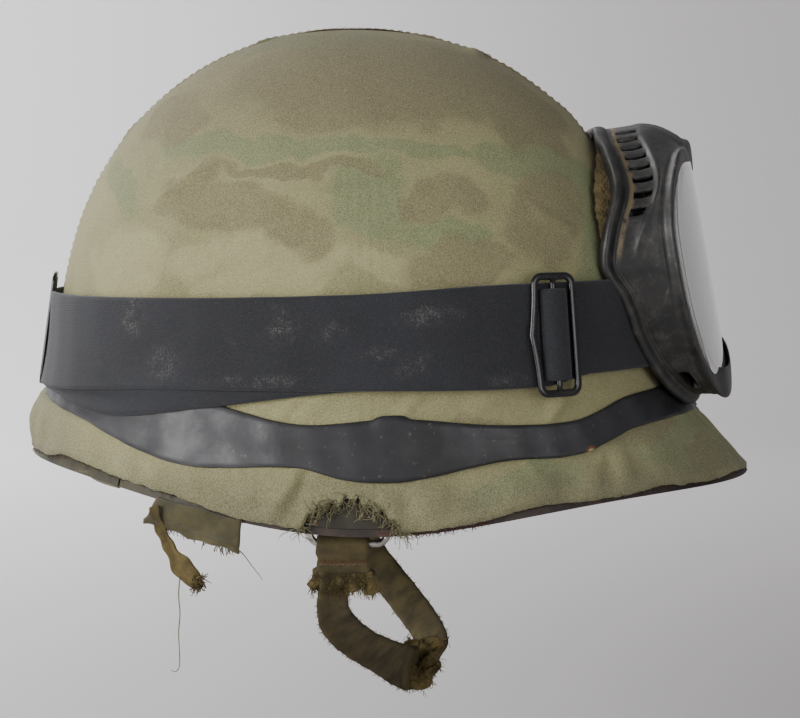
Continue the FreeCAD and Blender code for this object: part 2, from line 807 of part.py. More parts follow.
def make_chinstrap():
    right = [
        ((-9, -96, -62), (1.0, 0.3, 0.1), 11, 2.6),
        ((-8, -82, -72), (0.9, 0.1, 0.5), 13, 2.6),
        ((-1, -62, -83), (0.7, 0.0, 0.7), 14, 2.4),
        ((8, -42, -93), (0.6, 0.0, 0.8), 15, 2.2),
        ((15, -22, -102), (0.3, 0.0, 0.95), 17, 2.0),
        ((19, -8, -107), (0.1, 0.0, 1.0), 19, 1.8),
    ]
    left = [
        ((36, 8, -109), (0.5, 0.0, 1.0), 15, 1.8),
        ((35, 24, -106), (0.6, 0.0, 0.9), 15, 1.8),
        ((30, 44, -101), (0.7, 0.0, 0.7), 15, 1.8),
        ((20, 65, -92), (0.8, 0.0, 0.5), 15, 1.8),
        ((5, 83, -78), (0.9, 0.0, 0.3), 15, 1.8),
        ((-4, 96, -62), (1.0, 0.0, 0.1), 13, 1.8),
    ]
    add_feature("chinstrap_right", webbing(right))
    add_feature("chinstrap_left", webbing(left))
    knot = doc.addObject("Part::Box", "chinstrap_knot_box")
    knot.Length = 13
    knot.Width = 14
    knot.Height = 16
    keep(knot, "chinstrap_knot", Placement(Vector(22, -7, -115), Rotation()))


# ---------------------------------------------------------------- liner and suspension

LINER_FLARES = (size("liner_side_flare"), size("liner_brim_flare"))
SUSPENSION_ANGLES = (30, 90, 150)


def make_liner():
    inside = -size("liner_offset")
    outside = inside + size("liner_thickness")

    def low(theta):
        return rim_height(theta) + size("liner_rise")

    add_feature("liner_shell", dome_shell(inside, outside, low, *LINER_FLARES))


def arch_point(angle, sweep, across, crown_z, lift):
    """Point on an arch over the head: sweep runs from 0 at one foot to pi at the other."""
    foot_angle = angle if cos(sweep) > 0 else angle + 180
    reach = plan_radius(radians(foot_angle)) - size("liner_offset") - size("suspension_gap") + lift
    power = 2 / size("suspension_power")
    direction = Vector(cos(radians(angle)), sin(radians(angle)), 0)
    sideways = Vector(-direction.y, direction.x, 0)
    along = reach * abs(cos(sweep)) ** power * (1 if cos(sweep) > 0 else -1)
    rise = (crown_z + lift - size("suspension_z")) * abs(sin(sweep)) ** power
    spot = direction * along + sideways * across
    return Vector(CENTRE_X + spot.x, spot.y, size("suspension_z") + rise)


def make_suspension():
    steps = 24
    half = size("suspension_width") / 2
    for number, angle in enumerate(SUSPENSION_ANGLES):
        crown_z = size("suspension_crown_z") + number * size("suspension_step")

        def grid(lift):
            result = []
            for i in range(steps + 1):
                sweep = pi * i / steps
                result.append(
                    [arch_point(angle, sweep, share * half, crown_z, lift) for share in (-1, -0.4, 0.4, 1)]
                )
            return result

        band = thick_sheet(grid(0.0), grid(-size("suspension_thickness")))
        add_feature(f"suspension_band_{number + 1}", band)


def disc(radius, thick, spot):
    body = Part.makeCylinder(radius, thick)
    body.Placement = spot
    return body


def liner_spot(angle, z, offset):
    """On the liner's wall, local Z pointing out."""
    theta = radians(angle)
    step = radians(2.0)
    here = dome_point(theta, z, offset, *LINER_FLARES)
    around = dome_point(theta + step, z, offset, *LINER_FLARES) - here
    upwards = dome_point(theta, z + 4, offset, *LINER_FLARES) - here
    return Placement(here, Rotation(around, upwards, around.cross(upwards), "ZXY"))


def make_liner_fittings():
    thick = size("disc_thickness")
    heads = []
    washers = []
    outside = -size("liner_offset") + size("liner_thickness") + 0.25
    inside = -size("liner_offset") - size("suspension_gap") - size("suspension_thickness") - 2.2 - thick
    for angle in range(30, 360, 60):
        head_spot = liner_spot(angle, size("suspension_z") + 6, outside)
        heads.append(disc(size("rivet_radius"), thick, head_spot))
        washer_spot = liner_spot(angle, size("suspension_z") + 8, inside)
        washers.append(disc(size("washer_radius"), thick, washer_spot))
    add_feature("liner_rivets", Part.makeCompound(heads))
    add_feature("suspension_washers", Part.makeCompound(washers))


STAY_Z = 12.0


def band_point(theta, z, offset):
    length = size("sweatband_half_length") + offset
    width = size("sweatband_half_width") + offset
    return Vector(length * cos(theta), width * sin(theta), z)


def make_sweatband():
    height, thick = size("sweatband_height"), size("sweatband_thickness")
    around = 40

    def grid(offset):
        result = []
        for i in range(around):
            theta = 2 * pi * i / around
            result.append([band_point(theta, height * share, offset) for share in (0, 1 / 3, 2 / 3, 1)])
        return result + [result[0]]

    add_feature("sweatband", thick_sheet(grid(0.0), grid(-thick)))


def sweatband_spot(angle, z, offset):
    theta = radians(angle)
    step = radians(1.0)
    around = band_point(theta + step, z, offset) - band_point(theta - step, z, offset)
    upwards = Vector(0, 0, 1)
    return Placement(band_point(theta, z, offset), Rotation(around, upwards, around.cross(upwards), "ZXY"))


def make_sweatband_fittings():
    """Clips on the sweatband's outer face, webbing stays out to the liner, and the rear buckle."""
    width, height, thick = size("clip_width"), size("clip_height"), size("disc_thickness")
    clips = []
    stays = []
    for angle in range(0, 360, 30):
        clip = Part.makeBox(width, height, thick, Vector(-width / 2, 0, 0))
        clip.Placement = sweatband_spot(angle, size("sweatband_height") - height - 0.5, 0.25)
        if angle != 180:
            clips.append(clip)
    half_width = 9.0
    for angle in range(30, 360, 60):
        theta = radians(angle)
        start = band_point(theta, STAY_Z, 1.2)
        tangent = band_point(theta + 0.02, STAY_Z, 1.2) - band_point(theta - 0.02, STAY_Z, 1.2)
        tangent.normalize()
        inner = [start - tangent * half_width, start + tangent * half_width]
        outer = []
        for turn in (0.08, -0.08):
            outer.append(dome_point(theta + turn, STAY_Z, -size("liner_offset") - 1.0, *LINER_FLARES))
        outline = Part.makePolygon(inner + outer + inner[:1])
        stays.append(Part.Face(outline).extrude(Vector(0, 0, 1.2)))
    add_feature("sweatband_clips", Part.makeCompound(clips))
    add_feature("sweatband_stays", Part.makeCompound(stays))
    make_sweatband_buckle()


def make_sweatband_buckle():
    label = "sweatband_buckle"
    body = new_body(label)
    half_width, half_height = size("buckle_width") / 2, size("buckle_height") / 2
    outline = new_sketch(body, f"{label}_outline", "XY_Plane")
    add_rectangle(outline, -half_width, -half_height, half_width, half_height)
    pad(body, f"{label}_plate", outline, "buckle_thickness")
    window = new_sketch(body, f"{label}_window", "XY_Plane")
    border = 3.0
    half_bar = 1.2
    add_rectangle(window, -half_width + border, -half_height + border, -half_bar, half_height - border)
    add_rectangle(window, half_bar, -half_height + border, half_width - border, half_height - border)
    pocket_through(body, f"{label}_cut", window)
    keep(body, label, sweatband_spot(180, size("sweatband_height") / 2, 1.0))


def make_nape_strap():
    foot = -24.0
    strap = dome_ribbon(
        lambda theta: foot,
        lambda theta: foot + size("nape_strap_width"),
        -size("liner_offset") - 9.2,
        -size("liner_offset") - 8.0,
        146,
        214,
        *LINER_FLARES,
    )
    add_feature("nape_strap", strap)


# ---------------------------------------------------------------- build and write

make_steel_shell()
make_rim_edging()
for side in ("right", "left"):
    make_bail_lug(side)
    make_bail(side)
make_cover()
make_tucked_flaps()
make_torn_cloth()
make_rubber_band()
make_goggle_strap()
make_strap_ends()
make_sliders()
make_strap_turn()
make_goggles()
for side in ("right", "left"):
    make_strap_wrap(side)
    make_strap_collar(side)
make_chinstrap()
make_liner()
make_suspension()
make_liner_fittings()
make_sweatband()
make_sweatband_fittings()
make_nape_strap()
doc.recompute()

for item in doc.Objects:
    if "Invalid" in item.State or "Error" in item.State:
        raise RuntimeError(f"{item.Label}: {item.State}")

os.makedirs("parts", exist_ok=True)
for node in nodes:
    shape = node.Shape
    if shape.isNull() or not shape.isValid() or not shape.Solids:
        raise RuntimeError(f"{node.Label} has no valid solid")
    shape.exportStep(f"parts/{node.Label}.step")
    print(node.Label, len(shape.Solids), "solids,", round(shape.Volume), "mm3")
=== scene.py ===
from math import cos, pi, radians, sin

import bpy
import numpy as np
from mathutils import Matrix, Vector, noise


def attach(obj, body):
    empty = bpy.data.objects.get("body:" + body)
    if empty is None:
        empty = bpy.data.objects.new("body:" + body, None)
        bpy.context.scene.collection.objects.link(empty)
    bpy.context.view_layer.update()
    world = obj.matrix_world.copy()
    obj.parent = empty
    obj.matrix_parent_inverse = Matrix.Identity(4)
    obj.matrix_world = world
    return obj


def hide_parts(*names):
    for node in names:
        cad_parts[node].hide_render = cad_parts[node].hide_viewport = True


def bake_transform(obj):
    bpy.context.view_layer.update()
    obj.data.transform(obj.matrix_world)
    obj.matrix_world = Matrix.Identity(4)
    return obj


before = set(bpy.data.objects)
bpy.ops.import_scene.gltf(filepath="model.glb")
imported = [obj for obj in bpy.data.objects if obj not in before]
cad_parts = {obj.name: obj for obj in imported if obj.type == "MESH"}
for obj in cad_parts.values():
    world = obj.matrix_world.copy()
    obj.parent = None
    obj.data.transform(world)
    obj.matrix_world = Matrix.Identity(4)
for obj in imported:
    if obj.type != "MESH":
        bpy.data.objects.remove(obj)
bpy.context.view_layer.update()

MM = 0.001
UV_UNIT = 0.01  # UV maps count in 100 mm

# Lengths are in millimetres up to the point where a mesh is made. "Offset" is the distance outwards
# from the steel shell's outer surface; angles go round +Z from the front, the right ear at -90 degrees.

# ---------------------------------------------------------------- the dome, as in the CAD

CENTRE_X = -3.0
FRONT_REACH, REAR_REACH, SIDE_REACH = 120.5, 117.5, 107.5
PLAN_POWER = 2.12
EQUATOR_Z = 28.0
CROWN_RISE = 124.5
DOME_POWER = 2.1
FLARE_START = 38.0
FLARE_POWER = 1.6
FLARE_SIDE, FLARE_BRIM, FLARE_NAPE = 11.0, 27.0, 1.0
CLOTH_OFFSET, CLOTH_THICKNESS = 0.35, 1.1
CLOTH_MIDDLE = CLOTH_OFFSET + CLOTH_THICKNESS / 2
CLOTH_OUTSIDE = CLOTH_OFFSET + CLOTH_THICKNESS
LOWEST_LIFT = -0.2  # the cover can be pressed in by this much before it meets the shell
SEAM_Y = -6.0
MEAN_RADIUS, MERIDIAN = 113.0, 190.0  # the cover's UV map, lengths round the dome and from hem to crown


def plan_radius(theta):
    reach = np.where(np.cos(theta) > 0, FRONT_REACH, REAR_REACH)
    along = np.abs(np.cos(theta) / reach) ** PLAN_POWER
    across = np.abs(np.sin(theta) / SIDE_REACH) ** PLAN_POWER
    return (along + across) ** (-1 / PLAN_POWER)


def rim_height(theta):
    return -21.8 - 4.5 * np.cos(theta) + 6.75 * np.cos(2 * theta) - 2.5 * np.cos(4 * theta)


def dome_radius(theta, z, offset, side_share=1.0, brim_share=1.0):
    height_share = np.clip((z - EQUATOR_Z) / (CROWN_RISE + offset), 0.0, 1.0)
    radius = (plan_radius(theta) + offset) * (1 - height_share**DOME_POWER) ** (1 / DOME_POWER)
    forward = np.clip(np.cos(theta), 0, None)
    rearward = np.clip(-np.cos(theta), 0, None)
    flare = side_share * FLARE_SIDE + brim_share * (FLARE_BRIM * forward**4 + FLARE_NAPE * rearward**2)
    depth = np.clip((FLARE_START - z) / (FLARE_START - rim_height(theta)), 0, None)
    return radius + flare * depth**FLARE_POWER


def dome(theta, z, offset, side_share=1.0, brim_share=1.0):
    """Points on the dome, for arrays of angle (radians), height and offset."""
    theta, z, offset = np.broadcast_arrays(theta, z, offset)
    radius = dome_radius(theta, z, offset, side_share, brim_share)
    return np.stack([CENTRE_X + radius * np.cos(theta), radius * np.sin(theta), z + 0.0 * radius], -1)


def angle_of(theta):
    """Degrees away from the front, -180 to 180, for any angle in radians."""
    return np.degrees(np.arctan2(np.sin(theta), np.cos(theta)))


def along_stations(stations):
    """Smooth height over the angle away from the front, alike on both sides, as in the CAD."""
    angles = np.array([station[0] for station in stations], float)
    heights = np.array([station[1] for station in stations], float)
    ends = np.arange(len(stations))
    before, after = np.maximum(ends - 1, 0), np.minimum(ends + 1, len(stations) - 1)
    slopes = (heights[after] - heights[before]) / (angles[after] - angles[before])

    def height(theta):
        angle = np.abs(angle_of(theta))
        index = np.clip(np.searchsorted(angles, angle) - 1, 0, len(stations) - 2)
        span = angles[index + 1] - angles[index]
        share = np.clip((angle - angles[index]) / span, 0, 1)
        rest = 1 - share
        ends_part = heights[index] * (1 + 2 * share) * rest**2
        ends_part = ends_part + heights[index + 1] * (3 - 2 * share) * share**2
        return ends_part + span * (slopes[index] * share * rest**2 - slopes[index + 1] * rest * share**2)

    return height


BAND_TOP = along_stations([
    (0, 15), (34, 13.2), (48, 6.2), (63, 5.9), (81, 8.9), (99, 7), (116, 14), (135, 19), (150, 25), (180, 29),
])
BAND_FOOT = along_stations([
    (0, 3), (34, 2), (49, -6), (63, -7), (80, -13), (90, -12.5), (99, -8.2), (120, -8.2), (146, 5), (180, 10),
])
STRAP_TOP = along_stations([(0, 56.7), (60, 56), (90, 52.8), (150, 50), (180, 50)])
STRAP_FOOT = along_stations([(0, 22), (44, 22.5), (54, 19), (90, 18.9), (125, 18), (155, 14), (180, 13)])
INNER_FOOT = along_stations([(60, 19), (90, 18.5), (117, 11.8), (133, 7.4), (141, 7.6), (156, 12), (180, 12)])


# ---------------------------------------------------------------- shape helpers


def wave_noise(points, size, seed=0.0):
    """Smooth noise from -1 to 1 over an array of points, with features about size across."""
    flat = points.reshape(-1, 3) / size + seed
    values = [noise.noise(Vector(spot)) for spot in flat]
    return np.array(values).reshape(points.shape[:-1])


def bump(value, centre, width):
    return np.exp(-(((value - centre) / width) ** 2))


def step(value, low, high):
    share = np.clip((value - low) / (high - low), 0, 1)
    return share * share * (3 - 2 * share)


def window(value, rise_from, rise_to, fall_from, fall_to):
    """0 outside and 1 inside, with smooth flanks."""
    return step(value, rise_from, rise_to) * (1 - step(value, fall_from, fall_to))


def grid_normals(grid, wrap=False):
    """Unit normals of a grid of points, columns round the dome and rows up it."""
    if wrap:
        around = np.roll(grid, -1, 0) - np.roll(grid, 1, 0)
    else:
        around = np.gradient(grid, axis=0)
    upward = np.gradient(grid, axis=1)
    normals = np.cross(around, upward)
    lengths = np.linalg.norm(normals, axis=-1, keepdims=True)
    return normals / np.maximum(lengths, 1e-9)


def new_object(name, points, faces, material, uv=None):
    """Mesh object from points in millimetres; uv gives one pair in millimetres for each point."""
    mesh = bpy.data.meshes.new(name)
    mesh.from_pydata((np.asarray(points) * MM).tolist(), [], faces)
    mesh.polygons.foreach_set("use_smooth", [True] * len(mesh.polygons))
    if uv is not None:
        layer = mesh.uv_layers.new(name="UVMap")
        corners = np.empty(len(mesh.loops), int)
        mesh.loops.foreach_get("vertex_index", corners)
        layer.data.foreach_set("uv", (np.asarray(uv, float)[corners] * UV_UNIT).ravel())
    mesh.update()
    piece = bpy.data.objects.new(name, mesh)
    bpy.context.scene.collection.objects.link(piece)
    mesh.materials.append(material)
    return piece


def tube_faces(count, around, loop=False, start=0):
    """Quads of a tube of count sections with around points each."""
    faces = []
    for i in range(count if loop else count - 1):
        here, following = start + i * around, start + (i + 1) % count * around
        for j in range(around):
            k = (j + 1) % around
            faces.append((here + j, here + k, following + k, following + j))
    if not loop:
        faces.append(tuple(start + j for j in reversed(range(around))))
        faces.append(tuple(start + (count - 1) * around + j for j in range(around)))
    return faces


def tube(name, sections, material, loop=False, uv=None):
    """Closed piece through sections, an array (count, around, 3) in millimetres."""
    count, around = sections.shape[:2]
    uv_flat = None if uv is None else uv.reshape(-1, 2)
    return new_object(name, sections.reshape(-1, 3), tube_faces(count, around, loop), material, uv_flat)


def strip_sections(low, high, inside, outside, start, end, columns, rows, shift=None, shares=(1.0, 1.0)):
    """Sections of a flat band that lies on the dome, with rounded edges."""
    theta = np.radians(np.linspace(start, end, columns))[:, None]
    middle = (inside + outside) / 2
    half = (outside - inside) / 2
    foot, top = low(theta), high(theta)
    edge = 0.6 * half / np.maximum(top - foot, 1e-6)
    out_across = np.concatenate([[0.0], np.linspace(0, 1, rows), [1.0]])
    out_lift = np.concatenate([[0.0], np.full(rows, 1.0), [0.0]])
    share = np.concatenate([out_across, out_across[-2:0:-1]])
    lift = np.concatenate([out_lift, -out_lift[-2:0:-1]])
    rounded = np.clip(share, 0, 1)[None, :] * (1 - 2 * edge) + edge
    rounded = np.where(np.abs(lift)[None, :] < 0.5, share[None, :] * np.ones_like(theta), rounded)
    z = foot + (top - foot) * rounded
    offset = middle + half * lift[None, :] * np.ones_like(theta)
    if shift is not None:
        offset = offset + shift(theta * np.ones_like(z), z)
    points = dome(theta * np.ones_like(z), z, offset, *shares)
    uv = np.stack([theta * 115.0 * np.ones_like(z), z - foot], -1)
    return points, uv


def dome_strip(name, low, high, inside, outside, start, end, columns, rows, material, **options):
    loop = end - start > 359.9
    points, uv = strip_sections(low, high, inside, outside, start, end, columns, rows, **options)
    if loop:
        points, uv = points[:-1], uv[:-1]
    return tube(name, points, material, loop, uv)


def catmull_rom(a, b, c, d, t):
    """Curve from b to c at share t, with neighbours a and d."""
    return 0.5 * (2 * b + (c - a) * t + (2 * a - 5 * b + 4 * c - d) * t**2 + (3 * b - a - 3 * c + d) * t**3)


def smooth_path(points, count):
    """Catmull-Rom curve through rows of numbers, sampled evenly over its stations."""
    points = np.asarray(points, float)
    padded = np.vstack([2 * points[0] - points[1], points, 2 * points[-1] - points[-2]])
    places = np.linspace(0, len(points) - 1, count)
    index = np.minimum(places.astype(int), len(points) - 2)
    t = (places - index)[:, None]
    return catmull_rom(*(padded[index + k] for k in range(4)), t)


def run_lengths(line):
    """Length along a line of points, from 0 at its first point."""
    return np.concatenate([[0], np.cumsum(np.linalg.norm(np.diff(line, axis=0), axis=1))])


def unit(vectors):
    return vectors / np.maximum(np.linalg.norm(vectors, axis=-1, keepdims=True), 1e-9)


def webbing_sections(stations, count, rows, curl):
    """Sections of flat webbing through (x, y, z, across x, y, z, width, thickness) stations."""
    path = smooth_path(stations, count)
    centre, across, width, thick = path[:, :3], path[:, 3:6], path[:, 6:7], path[:, 7:8]
    run = unit(np.gradient(centre, axis=0))
    across = unit(across - run * np.sum(across * run, -1, keepdims=True))
    face = np.cross(run, across)
    share = np.concatenate([np.linspace(-0.5, 0.5, rows), np.linspace(0.5, -0.5, rows)])
    lift = np.concatenate([np.full(rows, 0.5), np.full(rows, -0.5)])
    lift[[0, rows - 1, rows, 2 * rows - 1]] *= 0.45
    bend = curl * (4 * share**2 - 0.4)
    points = centre[:, None] + across[:, None] * (share[None, :, None] * width[:, None])
    points = points + face[:, None] * (lift[None, :, None] * thick[:, None] + bend[None, :, None])
    uv = np.stack(np.broadcast_arrays(run_lengths(centre)[:, None], share[None, :] * width), -1)
    return points, uv


def wire_sections(path, radius, around):
    """Round sections along a path of points; radius is a number or one for each point."""
    path = np.asarray(path, float)
    run = unit(np.gradient(path, axis=0))
    helper = np.where(np.abs(run[:, 2:3]) > 0.9, [[1.0, 0, 0]], [[0, 0, 1.0]])
    side = unit(np.cross(run, helper))
    other = np.cross(run, side)
    turn = np.linspace(0, 2 * pi, around, endpoint=False)
    radius = np.broadcast_to(radius, len(path))[:, None, None]
    ring = side[:, None] * np.cos(turn)[None, :, None] + other[:, None] * np.sin(turn)[None, :, None]
    return path[:, None] + ring * radius


def stand_in(piece, body, node):
    """The piece rides on a body and stands for a CAD node, which is hidden."""
    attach(piece, body)
    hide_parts(node)


def fibres(name, paths, radius, material, body):
    """Many thin threads, which narrow towards their ends, as one piece that rides on a body."""
    around = 4
    points, faces = [], []
    start = 0
    for path in paths:
        radii = np.linspace(1.0, 0.55, len(path)) * radius
        points.append(wire_sections(path, radii, around).reshape(-1, 3))
        faces += tube_faces(len(path), around, start=start)
        start += len(path) * around
    threads = new_object(name, np.concatenate(points), faces, MATERIALS[material])
    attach(threads, body)


def fray(random, root, direction, length, sag=0.25, kink=0.35, steps=6):
    """A loose thread from root, kinked at random and drooping."""
    direction = np.asarray(direction, float)
    direction = direction / np.linalg.norm(direction)
    spot = np.asarray(root, float)
    path = [spot]
    for _ in range(steps - 1):
        direction = direction + kink * random.normal(size=3) + np.array([0, 0, -sag])
        direction = direction / np.linalg.norm(direction)
        spot = spot + direction * length / (steps - 1)
        path.append(spot)
    return np.array(path)


# ---------------------------------------------------------------- material helpers


class Surface:
    """A principled material built from short calls."""

    def __init__(self, name):
        self.material = bpy.data.materials.new(name)
        self.material.use_nodes = True
        self.tree = self.material.node_tree
        self.shader = self.tree.nodes["Principled BSDF"]
        self.place = self.tree.nodes.new("ShaderNodeTexCoord").outputs["Object"]

    def node(self, kind, **values):
        made = self.tree.nodes.new(kind)
        for key, value in values.items():
            setattr(made, key, value)
        return made

    def wire(self, value, socket):
        if isinstance(value, bpy.types.NodeSocket):
            self.tree.links.new(value, socket)
        else:
            socket.default_value = value

    def maths(self, operation, first, second=0.0):
        made = self.node("ShaderNodeMath", operation=operation)
        self.wire(first, made.inputs[0])
        self.wire(second, made.inputs[1])
        return made.outputs[0]

    def uv(self):
        return self.node("ShaderNodeTexCoord").outputs["UV"]

    def split(self, vector):
        made = self.node("ShaderNodeSeparateXYZ")
        self.wire(vector, made.inputs[0])
        return made.outputs

    def stretch(self, vector, scale, shift=(0, 0, 0)):
        made = self.node("ShaderNodeMapping")
        self.wire(vector, made.inputs["Vector"])
        made.inputs["Scale"].default_value = scale
        made.inputs["Location"].default_value = shift
        return made.outputs[0]

    def grain(self, scale, detail=4.0, rough=0.55, vector=None):
        """Noise; scale counts features per metre."""
        made = self.node("ShaderNodeTexNoise")
        self.wire(self.place if vector is None else vector, made.inputs["Vector"])
        made.inputs["Scale"].default_value = scale
        made.inputs["Detail"].default_value = detail
        made.inputs["Roughness"].default_value = rough
        return made.outputs["Fac"]

    def ramp(self, value, low, high, start=0.0, end=1.0):
        made = self.node("ShaderNodeMapRange", interpolation_type="SMOOTHSTEP")
        self.wire(value, made.inputs[0])
        for index, number in enumerate((low, high, start, end), start=1):
            made.inputs[index].default_value = number
        return made.outputs[0]

    def mix(self, share, first, second, blend="MIX"):
        made = self.node("ShaderNodeMix", data_type="RGBA", blend_type=blend)
        self.wire(share, made.inputs[0])
        for value, socket in ((first, made.inputs[6]), (second, made.inputs[7])):
            self.wire((*value, 1.0) if isinstance(value, tuple) and len(value) == 3 else value, socket)
        return made.outputs[2]

    def times(self, first, second):
        return self.maths("MULTIPLY", first, second)

    def cloud(self, scale, detail, low, high, start=0.0, end=1.0, rough=0.55, vector=None):
        """Noise between low and high, spread from start to end."""
        return self.ramp(self.grain(scale, detail, rough, vector), low, high, start, end)

    def two_tone(self, scale, first, second, detail=5.0, rough=0.55):
        return self.mix(self.cloud(scale, detail, 0.3, 0.7, rough=rough), first, second)

    def tint(self, colour, mask, strength, shade):
        return self.mix(self.times(mask, strength), colour, shade)

    def cells(self, scale):
        made = self.node("ShaderNodeTexVoronoi")
        made.inputs["Scale"].default_value = scale
        self.wire(self.place, made.inputs["Vector"])
        return made.outputs["Distance"]

    def weave(self, pitch):
        """Height of twill threads over the UV map, whose unit is 100 mm, as is the pitch's."""
        u, v, _ = self.split(self.uv())
        across = self.maths("ADD", u, v)
        warp, weft = (self.maths("SINE", self.times(part, 2 * pi / pitch)) for part in (across, v))
        return self.times(self.maths("ADD", warp, self.times(weft, 0.2)), 0.25)

    def finish(self, colour, rough=0.8, height=None, depth=0.0002, bump_share=1.0, **inputs):
        self.wire((*colour, 1.0) if isinstance(colour, tuple) else colour, self.shader.inputs["Base Color"])
        self.wire(rough, self.shader.inputs["Roughness"])
        for key, value in inputs.items():
            self.wire(value, self.shader.inputs[key.replace("_", " ")])
        if height is not None:
            made = self.node("ShaderNodeBump")
            made.inputs["Strength"].default_value = bump_share
            made.inputs["Distance"].default_value = depth
            self.wire(height, made.inputs["Height"])
            self.wire(made.outputs[0], self.shader.inputs["Normal"])
        return self.material


# ---------------------------------------------------------------- camera, light and floor


def make_stage():
    target = Vector((15.3, 0, 20.4)) * MM
    distance, elevation = 0.78, radians(5.0)
    camera_data = bpy.data.cameras.new("camera")
    camera_data.lens = 85.3
    camera_data.sensor_width = 36.0
    camera = bpy.data.objects.new("camera", camera_data)
    bpy.context.scene.collection.objects.link(camera)
    camera.location = target + Vector((0, -cos(elevation), sin(elevation))) * distance
    camera.rotation_euler = (pi / 2 - elevation, 0, 0)
    bpy.context.scene.camera = camera

    lamps = {
        "key": ((-1.3, -1.15, 0.38), 1.0, 32.0),
        "fill": ((0.9, -1.3, 0.1), 1.2, 10.5),
        "top": ((-0.3, 0.1, 1.5), 1.2, 0.8),
        "back": ((-0.9, 1.1, 0.7), 1.0, 7.0),
        "backdrop": ((-1.6, 0.9, 1.6), 0.8, 46.0),
    }
    aims = {"backdrop": Vector((-0.5, 2.0, 0.5))}
    for name, (place, width, power) in lamps.items():
        lamp_data = bpy.data.lights.new(name, "AREA")
        lamp_data.size = width
        lamp_data.energy = power
        lamp = bpy.data.objects.new(name, lamp_data)
        lamp.location = place
        aim = aims.get(name, Vector((0, 0, 0)))
        lamp.rotation_euler = (aim - Vector(place)).to_track_quat("-Z", "Y").to_euler()
        bpy.context.scene.collection.objects.link(lamp)
    world = bpy.data.worlds.new("studio")
    world.use_nodes = True
    world.node_tree.nodes["Background"].inputs["Color"].default_value = (0.62, 0.62, 0.65, 1)
    world.node_tree.nodes["Background"].inputs["Strength"].default_value = 0.42
    bpy.context.scene.world = world

    surface = Surface("stage_paper")
    x, y, _ = surface.split(surface.place)
    # painted light falloff: the paper is lighter on the left and darker on the right, and darker still on the
    # floor in front, most of all on the right
    shade = surface.mix(surface.ramp(x, -0.5, 0.5), (0.86, 0.84, 0.85), (0.60, 0.58, 0.58))
    near_painted_shade = surface.times(surface.ramp(y, 1.2, 0.2), surface.ramp(x, -0.3, 0.35, 0.25, 0.75))
    shade = surface.mix(near_painted_shade, shade, (0.34, 0.325, 0.32))
    paper = surface.finish(shade, 0.9, surface.grain(900.0), 0.0001, 0.3)
    half, floor_z, back_y, bend = 3000.0, -190.0, 1400.0, 600.0
    profile = [(-half, floor_z), (back_y, floor_z)]
    for i in range(1, 13):
        turn = pi / 2 * i / 12
        profile.append((back_y + bend * sin(turn), floor_z + bend * (1 - cos(turn))))
    profile.append((back_y + bend, 3500.0))
    points = [(side * half, y, z) for y, z in profile for side in (-1, 1)]
    faces = [(2 * i, 2 * i + 1, 2 * i + 3, 2 * i + 2) for i in range(len(profile) - 1)]
    new_object("floor", points, faces, paper)


# ---------------------------------------------------------------- materials


def srgb(red, green, blue):
    """Linear colour from 0 to 255 screen values."""
    return tuple((value / 255) ** 2.2 for value in (red, green, blue))


def patch(surface, place, centre, radii, lean, soft=0.17):
    """Mask of a blotch in the side view: centre and radii in millimetres along x and z."""
    x, _, z = place
    dx = surface.maths("SUBTRACT", x, centre[0] * MM)
    dz = surface.maths("SUBTRACT", z, centre[1] * MM)
    c, s = cos(radians(lean)), sin(radians(lean))
    along = surface.maths("ADD", surface.times(dx, c), surface.times(dz, s))
    across = surface.maths("SUBTRACT", surface.times(dz, c), surface.times(dx, s))
    squares = []
    for part, radius in zip((along, across), radii):
        share = surface.maths("ABSOLUTE", surface.maths("DIVIDE", part, radius * MM))
        squares.append(surface.maths("POWER", share, 2.0))
    reach = surface.maths("SQRT", surface.maths("ADD", *squares))
    return surface.ramp(reach, 1.0 + soft, 1.0 - soft)


# Blotches on the wearer's right, by colour: centre (x, z), radii, lean in degrees. The order of the
# colours is the order in which they are laid on.
CAMOUFLAGE = {
    "sand": [
        ((-34, 61), (34, 9), 0), ((8, 60), (9, 6), 0), ((-84, 62), (16, 18), 0),
        ((-60, -8), (34, 10), -15), ((10, -20), (40, 6), 0),
    ],
    "green": [
        ((-38, 105), (42, 6), 0), ((12, 104), (30, 4), 0), ((64, 101), (27, 8), -8), ((7, 84), (15, 16), 10),
        ((30, 71), (16, 5), 0), ((-90, 92), (7, 11), 50), ((89, 84), (8, 18), 10), ((124, -5), (26, 11), -15),
        ((60, -16), (22, 7), 10), ((-20, 147), (36, 4), 0), ((92, 58), (9, 18), 0),
    ],
    "brown": [
        ((-3, 129), (46, 18), 0), ((-6, 127), (30, 9), 0), ((40, 130), (26, 14), -15), ((30, 83), (12, 8), 5),
        ((-42, 81), (24, 9), -5), ((-18, 73), (11, 10), 0), ((-22, 95), (34, 3), 0), ((68, 80), (17, 16), 10),
        ((64, 116), (18, 9), -35), ((36, 61), (23, 8), 5), ((-62, 90), (12, 6), 30), ((104, 4), (14, 9), -20),
        ((136, -12), (12, 6), -20), ((-70, 116), (14, 8), 50), ((42, 2), (14, 7), 0),
    ],
}
CLOTH_COLOURS = {
    "base": srgb(148, 142, 97),
    "green": srgb(100, 119, 76),
    "brown": srgb(104, 93, 61),
    "sand": srgb(166, 160, 113),
}


